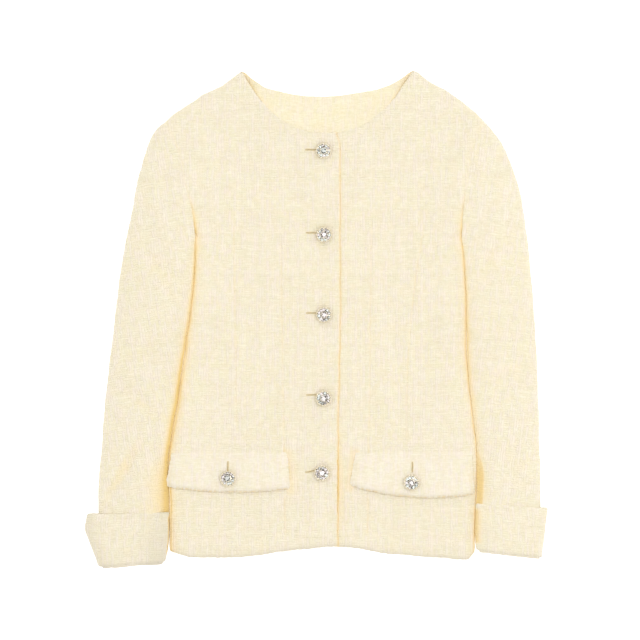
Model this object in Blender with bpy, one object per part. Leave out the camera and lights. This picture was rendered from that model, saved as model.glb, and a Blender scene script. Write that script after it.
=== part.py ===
"""Cropped tweed jacket, buttoned and laid flat on its back.

Every cloth piece is a wall of tweed. Its outer face is a grid of points worked out from the cut: the hem, the
centre front edge, the neck and shoulder, and the side and armhole. Its inner face is the same grid, moved in by
the cloth's thickness. All sizes here are millimetres. "out" is the distance from the centre line towards one
side, and "up" the distance from the hem towards the neck.
"""

from collections import namedtuple

import bmesh
import bpy
import numpy as np

MM = 0.001

# Cloth
TWEED = 2.4  # one layer of bonded boucle tweed
SEAM_GAP = 0.3  # between two pieces at a seam
FLAP_CLOTH = 3.0  # two layers, pressed
FACING_CLOTH = 1.5
CUFF_CLOTH = 2.6

# Body, cut sizes
BODY_LENGTH = 558.0  # hem to the high point of the shoulder
NECK_HALF = 99.0  # centre line to the high point of the shoulder
SHOULDER_TIP_UP = 500.0
FRONT_NECK_DROP = 70.5
FRONT_NECK_CURVE = 2.4  # power of the neck's curve
BACK_NECK_DROP = 29.0
BACK_NECK_CURVE = 2.6
SHOULDER_BOW = {"right": 2.8, "left": 4.4}  # how far the shoulder seam bows up, most towards its tip
UNDERARM_UP = 370.0
HEM_ARCH = 12.8  # the hem rises by this at the centre
HEM_ARCH_HALF = 112.0
HEM_CORNER = 13.0  # reach of the rounded corner at the side
HEM_CORNER_RISE = 7.5
LAP_RIGHT = 15.5  # the right front's edge, past the centre line
LAP_LEFT = 15.0  # the left front's hidden edge, past it the other way
LAP_BLEND = 30.0  # the right front climbs onto the left over this width

# How the body lies
SIDE_ROLL = 10.0  # radius of the fold at the side seam
SHOULDER_ROLL = 9.0
UNDERARM_ROLL = 22.0  # reach of the armhole's turn at the underarm
NECK_ROLL = 26.0  # reach of the neck edge's turn at the shoulder
LOFT_REACH = 42.0  # width of the fuller band along the side

# Grid of one half of the body
NECK_COLUMNS = 6
SHOULDER_COLUMNS = 5
ROLL_COLUMNS = 4
SIDE_ROWS = 13
ARMHOLE_ROWS = 10
NECK_SHARE = 0.53  # share of a row from the centre to the neck's width
SIDE_SHARE = 0.70  # share of a column from the hem to the underarm

SLEEVE_RINGS = 20
SLEEVE_CUTS = [0, 7, 11, 16, SLEEVE_RINGS]  # rings where a sleeve's solid is parted, so that each length is short
SLEEVE_BLEND = 0.24  # share of the sleeve that eases out of the armhole's shape
SLEEVE_CAP_GAP = 0.4

EdgeRow = namedtuple("EdgeRow", "up right left")
SIDE_LINE = [
    EdgeRow(0, 180.0, 168.6),
    EdgeRow(60, 181.1, 170.4),
    EdgeRow(120, 180.2, 171.8),
    EdgeRow(180, 171.0, 164.3),
    EdgeRow(240, 162.8, 160.0),
    EdgeRow(300, 154.4, 158.4),
    EdgeRow(340, 151.3, 156.8),
    EdgeRow(UNDERARM_UP, 151.2, 154.7),
]
ARMHOLE_LINE = [
    EdgeRow(UNDERARM_UP, 151.2, 154.7),
    EdgeRow(400, 158.0, 157.8),
    EdgeRow(430, 164.5, 161.3),
    EdgeRow(465, 169.5, 166.0),
    EdgeRow(485, 177.0, 173.0),
    EdgeRow(SHOULDER_TIP_UP, 185.5, 182.0),
]
LoftRow = namedtuple("LoftRow", "up middle side")
BODY_LOFT = [
    LoftRow(0, 7.6, 14.5),
    LoftRow(60, 7.8, 15.5),
    LoftRow(120, 8.0, 17.0),
    LoftRow(240, 8.0, 18.0),
    LoftRow(370, 8.6, 21.0),
    LoftRow(430, 9.0, 23.0),
    LoftRow(500, 9.4, 20.0),
    LoftRow(560, 9.6, 15.0),
]

SleeveRow = namedtuple("SleeveRow", "outer_out outer_up inner_out inner_up base loft")
SLEEVES = {
    "right": [
        SleeveRow(185.5, SHOULDER_TIP_UP, 151.8, UNDERARM_UP, 0.0, 21.0),
        SleeveRow(204.7, 475.0, 152.5, 358.0, 0.0, 24.0),
        SleeveRow(216.2, 438.0, 152.7, 344.0, 0.0, 26.5),
        SleeveRow(224.8, 394.5, 153.6, 325.0, 0.0, 28.0),
        SleeveRow(235.8, 337.0, 158.2, 285.0, 0.0, 28.0),
        SleeveRow(246.1, 254.0, 165.2, 233.0, 0.0, 27.0),
        SleeveRow(254.2, 186.0, 172.8, 179.0, 0.0, 26.0),
        SleeveRow(259.3, 123.0, 182.6, 123.0, 0.4, 25.0),
        SleeveRow(262.8, 66.0, 189.6, 69.0, 3.1, 23.0),
        SleeveRow(258.2, -7.8, 188.6, -1.3, 3.1, 21.3),
    ],
    "left": [
        SleeveRow(182.0, SHOULDER_TIP_UP, 155.3, UNDERARM_UP, 0.0, 21.0),
        SleeveRow(201.0, 475.5, 156.9, 358.0, 0.0, 24.0),
        SleeveRow(211.8, 448.0, 158.0, 345.0, 0.0, 26.5),
        SleeveRow(223.5, 401.0, 159.0, 325.0, 0.0, 28.0),
        SleeveRow(232.6, 337.0, 160.0, 288.0, 0.0, 28.0),
        SleeveRow(239.6, 254.0, 161.6, 236.0, 0.0, 27.0),
        SleeveRow(242.6, 186.0, 165.7, 181.0, 0.0, 26.0),
        SleeveRow(244.2, 123.0, 173.2, 125.0, 0.4, 25.0),
        SleeveRow(245.2, 72.0, 177.0, 76.0, 3.1, 23.0),
        SleeveRow(244.2, 3.7, 175.0, 11.7, 3.1, 21.3),
    ],
}
CuffRow = namedtuple("CuffRow", "outer_out outer_up inner_out inner_up loft")
CUFFS = {
    "right": [
        CuffRow(275.2, 49.5, 182.4, 51.8, 31.5),
        CuffRow(277.2, 31.0, 182.5, 33.0, 31.0),
        CuffRow(270.0, 10.0, 183.2, 14.0, 29.5),
        CuffRow(261.3, -11.0, 185.5, -4.5, 27.5),
    ],
    "left": [
        CuffRow(254.0, 56.3, 171.9, 62.0, 31.0),
        CuffRow(252.0, 36.0, 171.4, 42.0, 30.5),
        CuffRow(250.5, 18.0, 171.2, 25.0, 29.5),
        CuffRow(247.3, 0.5, 171.9, 8.5, 27.5),
    ],
}

# The cuff's fold, as steps from its lowest row: how far in from the outer face, and how far up
FoldStep = namedtuple("FoldStep", "inset raised")
CUFF_FOLD = [
    FoldStep(1.3, -1.8),
    FoldStep(4.0, -1.4),
    FoldStep(5.6, 0.6),
    FoldStep(5.6, 2.6),
    FoldStep(CUFF_CLOTH, 2.6),
]

FlapCorners = namedtuple("FlapCorners", "top_in top_out bottom_in bottom_out belly")
FLAPS = {
    "right": FlapCorners((46.5, 119.8), (178.0, 119.0), (42.9, 78.4), (185.3, 81.0), 6.5),
    "left": FlapCorners((33.4, 119.8), (166.2, 120.8), (27.1, 82.8), (168.8, 73.3), 8.5),
}
FLAP_WIDTH = 132.0
FLAP_REST = 0.8  # flap's underside above the front, at its sewn edge
FLAP_LIFT = 2.0  # and the more at its free edge
FLAP_COLUMNS = 12
FLAP_ROWS = 5

ButtonPlace = namedtuple("ButtonPlace", "name out up")
FRONT_BUTTONS = [
    ButtonPlace("button_front_1", 4.0, 467.0),
    ButtonPlace("button_front_2", 3.5, 370.5),
    ButtonPlace("button_front_3", 3.5, 278.5),
    ButtonPlace("button_front_4", 4.0, 182.5),
    ButtonPlace("button_front_5", 5.8, 96.6),
]
FLAP_BUTTONS = {
    "right": ButtonPlace("button_flap_right", 113.9, 90.3),
    "left": ButtonPlace("button_flap_left", 97.2, 85.7),
}
BUTTON_SIDES = 14
ButtonStep = namedtuple("ButtonStep", "radius height")
BUTTON_PROFILE = [
    ButtonStep(2.2, 0.0),
    ButtonStep(2.2, 1.4),
    ButtonStep(7.6, 1.8),
    ButtonStep(9.2, 2.8),
    ButtonStep(9.2, 4.0),
    ButtonStep(7.4, 5.6),
    ButtonStep(4.2, 7.2),
    ButtonStep(1.6, 8.0),
]

Crease = namedtuple("Crease", "out up reach_out reach_up depth width")
SLEEVE_CREASES = {
    "right": [
        Crease(236, 118, 26, 40, 2.2, 9),
        Crease(214, 176, 30, 22, 1.3, 11),
        Crease(206, 238, 34, -16, 1.2, 12),
        Crease(190, 336, 22, 30, 1.4, 13),
    ],
    "left": [
        Crease(214, 112, 26, -20, 1.3, 10),
        Crease(208, 214, 30, 16, 1.4, 12),
        Crease(200, 262, 26, -12, 1.0, 11),
        Crease(186, 344, 20, 30, 1.4, 13),
    ],
}

SIGN = {"right": -1.0, "left": 1.0}  # the wearer's right lies towards -X


# ---------------------------------------------------------------- curves

def column(table, name):
    """One named column of a table, as an array."""
    return np.array([getattr(row, name) for row in table], float)


def through(keys, values, at):
    """A smooth curve through the values: cubic between keys, its slope at each key the mean of both sides'."""
    at = np.clip(np.asarray(at, float), keys[0], keys[-1])
    slopes = np.gradient(values, keys)
    i = np.clip(np.searchsorted(keys, at, side="right") - 1, 0, len(keys) - 2)
    step = keys[i + 1] - keys[i]
    t = (at - keys[i]) / step
    start = (1 + 2 * t) * (1 - t) ** 2 * values[i] + t * (1 - t) ** 2 * step * slopes[i]
    return start + t * t * (3 - 2 * t) * values[i + 1] + t * t * (t - 1) * step * slopes[i + 1]


def ease(t):
    """0 to 1, level at both ends."""
    t = np.clip(t, 0.0, 1.0)
    return t * t * (3 - 2 * t)


def roll(distance, radius, at_edge):
    """A quarter turn: at_edge at the edge, 1 from a radius inwards."""
    t = 1 - np.clip(distance / radius, 0.0, 1.0)
    return np.sqrt(1 - t * t * (1 - at_edge**2))


def unit(vectors):
    """Vectors of length 1."""
    return vectors / np.linalg.norm(vectors, axis=-1, keepdims=True)


# ---------------------------------------------------------------- the body's outline and loft

def side_out(side, up):
    """How far the side seam is from the centre line."""
    return through(column(SIDE_LINE, "up"), column(SIDE_LINE, side), up)


def armhole_out(side, up):
    """How far the armhole seam is from the centre line."""
    return through(column(ARMHOLE_LINE, "up"), column(ARMHOLE_LINE, side), up)


def hem_up(side, out):
    """The hem: arched at the centre, with a rounded corner at the side."""
    arch = HEM_ARCH * (1 + np.cos(np.pi * np.clip(np.abs(out) / HEM_ARCH_HALF, 0, 1))) / 2
    corner = np.clip((out - side_out(side, 0) + HEM_CORNER) / HEM_CORNER, 0, 1)
    return arch + HEM_CORNER_RISE * corner**2


def neck_up(out, drop, curve):
    """The neck's edge: lowest on the centre line."""
    return BODY_LENGTH - drop + drop * np.abs(out / NECK_HALF) ** curve


def body_loft(side, out, up):
    """Height of the body's upper face above the surface: low in the middle, fuller along the side."""
    keys = column(BODY_LOFT, "up")
    middle = through(keys, column(BODY_LOFT, "middle"), up)
    full = through(keys, column(BODY_LOFT, "side"), up)
    edge = np.where(up < UNDERARM_UP, side_out(side, up), armhole_out(side, up))
    inward = np.clip(edge - out, 0, None)
    return middle + (full - middle) * np.exp(-((inward / LOFT_REACH) ** 2))


def lap(out):
    """How far the right front stands up where it lies on the left front."""
    return (TWEED + SEAM_GAP) * ease((LAP_LEFT + LAP_BLEND - out) / LAP_BLEND)


# ---------------------------------------------------------------- one half of the body

def row_shares():
    """Shares up the side: even rows to the underarm, then rows that close up at both ends of the armhole."""
    side = np.linspace(0, SIDE_SHARE, SIDE_ROWS + 1)[:-1]
    turn = (1 - np.cos(np.linspace(0, np.pi, ARMHOLE_ROWS + 1))) / 2
    return np.concatenate([side, SIDE_SHARE + (1 - SIDE_SHARE) * turn])


def column_shares():
    """Shares across: even columns over the neck and shoulder, closing up on the side's roll."""
    roll_angles = np.linspace(np.pi / 2, 0, ROLL_COLUMNS + 1)
    rolled = 1 - SIDE_ROLL / side_out("right", UNDERARM_UP) * (1 - np.cos(roll_angles))
    neck = np.linspace(0, NECK_SHARE, NECK_COLUMNS + 1)[:-1]
    shoulder = np.linspace(NECK_SHARE, rolled[0], SHOULDER_COLUMNS + 1)[:-1]
    return np.concatenate([neck, shoulder, rolled])


def half_outline(side, edge_out, neck_drop, neck_curve):
    """The four edges of one half, each as (out, up) rows: hem, top, centre and side."""
    across, along = column_shares(), row_shares()
    tip = np.array([armhole_out(side, SHOULDER_TIP_UP), SHOULDER_TIP_UP])
    high = np.array([NECK_HALF, BODY_LENGTH])
    hem_out = edge_out + across * (side_out(side, 0) - edge_out)
    hem = np.stack([hem_out, hem_up(side, hem_out)], -1)
    neck_out = edge_out + np.clip(across / NECK_SHARE, 0, 1) * (NECK_HALF - edge_out)
    neck = np.stack([neck_out, neck_up(neck_out, neck_drop, neck_curve)], -1)
    s = np.clip((across - NECK_SHARE) / (1 - NECK_SHARE), 0, 1)[:, None]
    swell = 9.48 * s**3 * (1 - s)  # 1 at three quarters of the seam
    bow = SHOULDER_BOW[side] * swell * unit(np.array([high[1] - tip[1], tip[0] - high[0]]))
    top = np.where(s > 0, high + s * (tip - high) + bow, neck)
    centre = np.stack([np.full(len(along), edge_out), hem[0, 1] + along * (top[0, 1] - hem[0, 1])], -1)
    to_underarm = np.clip(along / SIDE_SHARE, 0, 1)
    to_tip = np.clip((along - SIDE_SHARE) / (1 - SIDE_SHARE), 0, 1)
    up = hem[-1, 1] + to_underarm * (UNDERARM_UP - hem[-1, 1]) + to_tip * (tip[1] - UNDERARM_UP)
    out = np.where(to_tip > 0, armhole_out(side, up), side_out(side, up))
    return hem, top, centre, np.stack([out, up], -1)


def half_plan(side, edge_out, neck_drop, neck_curve):
    """The half's grid in plan, as rows of (out, up): each row and column runs evenly between two edges."""
    hem, top, centre, edge = half_outline(side, edge_out, neck_drop, neck_curve)
    u, v = column_shares()[None, :, None], row_shares()[:, None, None]
    between = (1 - v) * hem[None] + v * top[None] + (1 - u) * centre[:, None] + u * edge[:, None]
    corners = (1 - u) * (1 - v) * hem[0] + u * (1 - v) * hem[-1] + (1 - u) * v * top[0] + u * v * top[-1]
    return between - corners


def fullness(plan):
    """1 where the half lies open, 0 on the side and shoulder seams, where upper and under faces meet."""
    out, up = plan[..., 0], plan[..., 1]
    above = np.clip(up[:, -1:] - UNDERARM_UP, 0, None)
    at_side = roll(above, UNDERARM_ROLL, 0.0)
    side = roll(out[:, -1:] - out, SIDE_ROLL, at_side)
    to_shoulder = np.clip(NECK_HALF - out[-1:], 0, None)
    at_top = roll(to_shoulder, NECK_ROLL, 0.0)
    slope = NECK_HALF / np.hypot(NECK_HALF, BODY_LENGTH - UNDERARM_UP)
    top = roll((up[-1:] - up) * (1 - slope / 4), SHOULDER_ROLL, at_top)
    return side * top


def half_face(side, layer, edge_out, neck_drop, neck_curve):
    """The outer face of one half: "upper" for a front, "under" for the back. Rows from hem to top."""
    plan = half_plan(side, edge_out, neck_drop, neck_curve)
    out, up = plan[..., 0], plan[..., 1]
    full = fullness(plan)
    loft = body_loft(side, out, up)
    if layer == "upper":
        height = loft * (1 + full) / 2 + SEAM_GAP / 2
    else:
        height = (loft * (1 - full) / 2 - SEAM_GAP / 2).clip(0, None)
    return np.stack([out, up, height], -1), full


def face_normals(points, towards):
    """Unit normals of a grid of points, turned to the given side."""
    across = np.gradient(points, axis=1)
    along = np.gradient(points, axis=0)
    normals = unit(np.cross(across, along))
    flip = np.sign((normals * np.asarray(towards, float)).sum(-1).mean())
    return normals * flip


def seam_normals(points, full, layer):
    """Normals of a half, set level and outwards on its seams, so both walls of a seam meet square."""
    rise = 1.0 if layer == "upper" else -1.0
    normals = face_normals(points, (0, 0, rise))
    sideways = np.array([1.0, 0.0, 0.0])
    tip = points[-1, -1]
    shoulder = unit(np.array([BODY_LENGTH - tip[1], tip[0] - NECK_HALF, 0.0]))
    crotch = np.array([0.35, -1.0, 0.0])
    first = SIDE_ROWS  # the underarm's row
    normals[:first, -1] = sideways
    turn = np.linspace(0, 1, ARMHOLE_ROWS + 1)[:, None]
    level = unit((1 - turn) * crotch + turn * shoulder)
    g = full[first:, -1:]
    normals[first:, -1] = np.sqrt(1 - g * g) * level + g * np.array([0, 0, rise])
    g = full[-1, :, None]
    normals[-1] = np.sqrt(1 - g * g) * shoulder + g * np.array([0, 0, rise])
    return unit(normals)


# ---------------------------------------------------------------- sleeves and cuffs

def crease_depth(creases, out, up):
    """Sum of soft troughs. Each is deepest on its own line and fades out along it and to both sides."""
    total = np.zeros_like(out)
    for c in creases:
        run = np.array([c.reach_out, c.reach_up], float)
        length = np.linalg.norm(run)
        along = ((out - c.out) * run[0] + (up - c.up) * run[1]) / length
        across = ((up - c.up) * run[0] - (out - c.out) * run[1]) / length
        total += c.depth * np.exp(-((across / c.width) ** 2) - (along / length) ** 2)
    return total


def tube_rows(table, names, count):
    """A table's columns, read smoothly at even shares of its length."""
    keys = np.linspace(0, 1, len(table))
    at = np.linspace(0, 1, count)
    return [through(keys, column(table, name), at)[:, None] for name in names]


def half_ring(layer, points):
    """Shape of half a flattened tube over points across it: full in the middle, 0 at both folds."""
    swell = np.sin(np.linspace(0, np.pi, points)) ** (0.75 if layer == "upper" else 0.45)
    return swell if layer == "upper" else np.clip(1.12 * swell, 0, 1)


def sleeve_face(side, layer, armhole):
    """The outer face of half a sleeve. Rows run from the armhole to the wrist, points from outer to inner fold."""
    names = ("outer_out", "outer_up", "inner_out", "inner_up", "base", "loft")
    outer_out, outer_up, inner_out, inner_up, base, loft = tube_rows(SLEEVES[side], names, SLEEVE_RINGS + 1)
    share = (1 - np.cos(np.linspace(0, np.pi, ARMHOLE_ROWS + 1)))[None] / 2
    out = outer_out + share * (inner_out - outer_out)
    up = outer_up + share * (inner_up - outer_up)
    base = base.clip(0, None)
    swell = half_ring(layer, ARMHOLE_ROWS + 1)[None]
    if layer == "upper":
        height = base + loft * (1 + swell) / 2 + SEAM_GAP / 2
        height = height - crease_depth(SLEEVE_CREASES[side], out, up) * swell
    else:
        height = base + (loft * (1 - swell) / 2 - SEAM_GAP / 2).clip(0, None)
    points = np.stack([out, up, height], -1)
    start = armhole[::-1] + np.array([SLEEVE_CAP_GAP, 0, 0])
    fade = 1 - ease(np.linspace(0, 1, SLEEVE_RINGS + 1) / SLEEVE_BLEND)
    return points + fade[:, None, None] * (start - points[0])


def sleeve_normals(points, armhole_normals, layer):
    """Normals of half a sleeve, each in its ring's upright plane: level ones along both folds, and the
    armhole's own at the start."""
    rise = 1.0 if layer == "upper" else -1.0
    normals = face_normals(points, (0, 0, rise))
    across = unit((points[:, 0] - points[:, -1]) * np.array([1, 1, 0]))
    along = np.cross(across, (0, 0, 1))[:, None]
    normals -= (normals * along).sum(-1, keepdims=True) * along
    normals[:, 0] = across
    normals[:, -1] = -across
    normals[0] = armhole_normals[::-1]
    return unit(normals)


def tube_ring(outer, inner, base, loft, inset, sides):
    """A closed flattened ring between an outer and an inner fold, drawn in all round by inset."""
    outer, inner = np.asarray(outer, float), np.asarray(inner, float)
    middle, half = (outer + inner) / 2, (outer - inner) / 2
    reach = np.linalg.norm(half)
    angles = np.linspace(0, 2 * np.pi, sides, endpoint=False)
    upper = np.sin(angles) >= 0
    swell = np.abs(np.sin(angles))
    swell = np.where(upper, swell**0.75, np.clip(1.12 * swell**0.45, 0, 1))
    plan = middle + np.cos(angles)[:, None] * half * (reach - inset) / reach
    rise = np.where(upper, swell, -swell) * (loft / 2 - inset)
    return np.column_stack([plan, base + loft / 2 + rise])


# ---------------------------------------------------------------- meshes

def add_piece(name, side, points, faces, material):
    """A smooth-shaded object from points in millimetres, mirrored to its side of the centre line."""
    points = np.array(points, float).reshape(-1, 3) * MM
    points[:, 0] *= SIGN[side]
    mesh = bpy.data.meshes.new(name)
    mesh.from_pydata(points.tolist(), [], faces)
    shell = bmesh.new()
    shell.from_mesh(mesh)
    bmesh.ops.recalc_face_normals(shell, faces=shell.faces)
    shell.to_mesh(mesh)
    shell.free()
    mesh.shade_smooth()
    mesh.set_sharp_from_angle(angle=np.radians(50))
    mesh.materials.append(material)
    piece = bpy.data.objects.new(name, mesh)
    bpy.context.collection.objects.link(piece)
    return piece


def wall_faces(rows, columns):
    """Faces of a wall: its outer grid, its inner grid behind it, and the rim that joins them."""
    def outer(r, c):
        return r * columns + c

    def inner(r, c):
        return rows * columns + outer(r, c)

    faces = []
    for r in range(rows - 1):
        for c in range(columns - 1):
            ring = [(r, c), (r, c + 1), (r + 1, c + 1), (r + 1, c)]
            faces.append([outer(*p) for p in ring])
            faces.append([inner(*p) for p in reversed(ring)])
    rim = [(0, c) for c in range(columns)]
    rim += [(r, columns - 1) for r in range(1, rows)]
    rim += [(rows - 1, c) for c in range(columns - 2, -1, -1)]
    rim += [(r, 0) for r in range(rows - 2, 0, -1)]
    for a, b in zip(rim, rim[1:] + rim[:1]):
        faces.append([outer(*b), outer(*a), inner(*a), inner(*b)])
    return faces


def add_wall(name, side, outer, inner, material):
    """A closed wall between an outer and an inner grid of points."""
    rows, columns = outer.shape[:2]
    points = np.concatenate([outer.reshape(-1, 3), inner.reshape(-1, 3)])
    return add_piece(name, side, points, wall_faces(rows, columns), material)


def add_rings(name, side, rings, material, closed):
    """A solid through rings of equal count: closed into a hoop, or capped at both ends."""
    rings = np.array(rings)
    count, sides = rings.shape[:2]
    faces = []
    for r in range(count if closed else count - 1):
        below = (r + 1) % count
        for s in range(sides):
            t = (s + 1) % sides
            faces.append([r * sides + s, r * sides + t, below * sides + t, below * sides + s])
    if not closed:
        faces.append(list(range(sides)))
        faces.append([(count - 1) * sides + s for s in range(sides)])
    return add_piece(name, side, rings.reshape(-1, 3), faces, material)


def make_material(name, colour, roughness, metallic):
    """A plain Principled material."""
    material = bpy.data.materials.new(name)
    material.use_nodes = True
    shader = material.node_tree.nodes["Principled BSDF"]
    shader.inputs["Base Color"].default_value = (*colour, 1.0)
    shader.inputs["Roughness"].default_value = roughness
    shader.inputs["Metallic"].default_value = metallic
    return material


# ---------------------------------------------------------------- pieces

def half(side, layer, edge_out, neck_drop, neck_curve, raise_by=None):
    """Outer and inner grids of one half of the body, with the outer face's normals."""
    face, full = half_face(side, layer, edge_out, neck_drop, neck_curve)
    normals = seam_normals(face, full, layer)
    if raise_by is not None:
        face[..., 2] += raise_by(face[..., 0])
    return face, face - TWEED * normals, normals


def build_front(side, tweed):
    """A front, from its edge at the centre to the side seam and the armhole."""
    if side == "right":
        grids = half(side, "upper", -LAP_RIGHT, FRONT_NECK_DROP, FRONT_NECK_CURVE, lap)
    else:
        grids = half(side, "upper", -LAP_LEFT, FRONT_NECK_DROP, FRONT_NECK_CURVE)
    add_wall(f"front_{side}", side, grids[0], grids[1], tweed)
    return grids


def build_back(tweed, facing):
    """The back, both halves in one piece, and the facing inside its neck."""
    halves = {s: half(s, "under", 0.0, BACK_NECK_DROP, BACK_NECK_CURVE) for s in SIGN}
    mirror = np.array([-1.0, 1.0, 1.0])

    def whole(index):
        left = halves["left"][index]
        right = halves["right"][index] * mirror
        return np.concatenate([right[:, :0:-1], left], axis=1)

    outer, inner, normals = (whole(i) for i in range(3))
    add_wall("back", "left", outer, inner, tweed)
    middle = outer.shape[1] // 2
    rows = slice(-5, None)
    columns = slice(middle - NECK_COLUMNS + 1, middle + NECK_COLUMNS)
    under = inner[rows, columns] - SEAM_GAP * normals[rows, columns]
    add_wall("back_neck_facing", "left", under, under - FACING_CLOTH * normals[rows, columns], facing)
    return halves


def sleeve_length(grid, face, first, last):
    """The rings of a sleeve from first to last, drawn back by half a gap where another length goes on."""
    rings = grid[first : last + 1].copy()
    if first > 0:
        rings[0] += SEAM_GAP / 2 * unit((face[first + 1] - face[first - 1]).mean(0))
    if last < SLEEVE_RINGS:
        rings[-1] -= SEAM_GAP / 2 * unit((face[last + 1] - face[last - 1]).mean(0))
    return rings


def build_sleeve(side, front, back, tweed):
    """Upper and under sleeve in lengths, set into the armhole that the front and back leave."""
    for layer, grids in (("upper", front), ("under", back)):
        armhole, normals = grids[0][SIDE_ROWS:, -1], grids[2][SIDE_ROWS:, -1]
        face = sleeve_face(side, layer, armhole)
        inner = face - TWEED * sleeve_normals(face, normals, layer)
        for number, cut in enumerate(zip(SLEEVE_CUTS, SLEEVE_CUTS[1:]), start=1):
            name = f"sleeve_{layer}_{side}_{number}"
            add_wall(name, side, sleeve_length(face, face, *cut), sleeve_length(inner, face, *cut), tweed)


def build_cuff(side, tweed):
    """A turned-up cuff: down its outer face, round the fold, and up behind, with a step for the sleeve's end."""
    rows = CUFFS[side]
    sides = 2 * ARMHOLE_ROWS

    def ring(row, inset, raised=0.0):
        outer = (row.outer_out, row.outer_up + raised)
        inner = (row.inner_out, row.inner_up + raised)
        return tube_ring(outer, inner, 0.0, row.loft, inset, sides)

    rings = [ring(row, 0.0) for row in rows]
    rings += [ring(rows[-1], step.inset, step.raised) for step in CUFF_FOLD]
    rings += [ring(row, CUFF_CLOTH) for row in reversed(rows[:-1])]
    add_rings(f"cuff_{side}", side, rings, tweed, closed=True)


def flap_edges(side, u):
    """Points on a flap's sewn edge and on its free, bellied edge, at shares u of its width."""
    corners = FLAPS[side]
    u = np.asarray(u, float)[..., None]
    sewn = (1 - u) * np.array(corners.top_in) + u * np.array(corners.top_out)
    free = (1 - u) * np.array(corners.bottom_in) + u * np.array(corners.bottom_out)
    return sewn, free - np.array([0, 1]) * corners.belly * 4 * u * (1 - u)


def flap_height(side, out, up, v):
    """A flap's underside, above the front it lies on: v is 0 at its sewn edge and 1 at its free edge."""
    return body_loft(side, out, up) + FLAP_REST + FLAP_LIFT * v**1.5


def flap_face(side):
    """The underside of a flap, rows from its sewn to its free edge."""
    sewn, free = flap_edges(side, np.linspace(0, 1, FLAP_COLUMNS + 1)[None])
    v = np.linspace(0, 1, FLAP_ROWS + 1)[:, None]
    plan = (1 - v[..., None]) * sewn + v[..., None] * free
    out, up = plan[..., 0], plan[..., 1]
    return np.stack([out, up, flap_height(side, out, up, v)], -1)


def build_flap(side, tweed):
    """A pocket flap on its front."""
    under = flap_face(side)
    over = under + np.array([0, 0, FLAP_CLOTH])
    add_wall(f"flap_{side}", side, over, under, tweed)


def build_button(place, side, seat, metal):
    """A domed shank button, turned about its own axis, on a seat at the given height."""
    angles = np.linspace(0, 2 * np.pi, BUTTON_SIDES, endpoint=False)
    circle = np.column_stack([np.cos(angles), np.sin(angles)])
    rings = []
    for step in BUTTON_PROFILE:
        plan = np.array([place.out, place.up]) + step.radius * circle
        rings.append(np.column_stack([plan, np.full(BUTTON_SIDES, seat + step.height)]))
    add_rings(place.name, side, rings, metal, closed=False)


def centre_on_floor():
    """Move all pieces so that the middle of the garment's box stands on the origin."""
    pieces = list(bpy.context.collection.objects)
    corners = []
    for piece in pieces:
        points = np.empty(len(piece.data.vertices) * 3, np.float32)
        piece.data.vertices.foreach_get("co", points)
        corners += [points.reshape(-1, 3).min(0), points.reshape(-1, 3).max(0)]
    low, high = np.min(corners, 0), np.max(corners, 0)
    shift = np.array([(low[0] + high[0]) / 2, (low[1] + high[1]) / 2, low[2]])
    for piece in pieces:
        points = np.empty(len(piece.data.vertices) * 3, np.float32)
        piece.data.vertices.foreach_get("co", points)
        points = (points.reshape(-1, 3) - shift).astype(np.float32)
        piece.data.vertices.foreach_set("co", points.ravel())
        piece.data.update()
    return shift, high - low


def main():
    for old in list(bpy.data.objects):
        bpy.data.objects.remove(old)
    tweed = make_material("tweed", (0.92, 0.84, 0.66), 0.9, 0.0)
    facing = make_material("facing_tweed", (0.90, 0.80, 0.58), 0.9, 0.0)
    metal = make_material("button_metal", (0.80, 0.72, 0.55), 0.3, 1.0)

    backs = build_back(tweed, facing)
    for side in SIGN:
        front = build_front(side, tweed)
        build_sleeve(side, front, backs[side], tweed)
        build_cuff(side, tweed)
        build_flap(side, tweed)

    for place in FRONT_BUTTONS:
        seat = body_loft("right", place.out, place.up) + lap(place.out) + SEAM_GAP / 2
        build_button(place, "right", float(seat) + SEAM_GAP, metal)
    for side, place in FLAP_BUTTONS.items():
        sewn, free = flap_edges(side, (place.out - FLAPS[side].top_in[0]) / FLAP_WIDTH)
        down = (sewn[1] - place.up) / (sewn[1] - free[1])
        seat = flap_height(side, place.out, place.up, down) + FLAP_CLOTH
        build_button(place, side, float(seat) + SEAM_GAP, metal)

    shift, size = centre_on_floor()
    print("shift mm", np.round(shift / MM, 2), "size mm", np.round(size / MM, 1))


main()
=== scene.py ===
# %% [markdown]
# # A cropped tweed jacket, buttoned and laid flat
# The packed model gives the frame: where the jacket lies and how big it is. It is a plain model of the cloth
# walls. This script makes the same panels again, much finer, with boucle relief, seams and soft creases, and
# dresses them in tweed. All shapes below are worked out in garment millimetres: "out" runs from the centre
# line towards one side, and "up" from the hem to the neck. They become metres when a mesh is made.

# %% Load the frame
from collections import namedtuple

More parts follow.
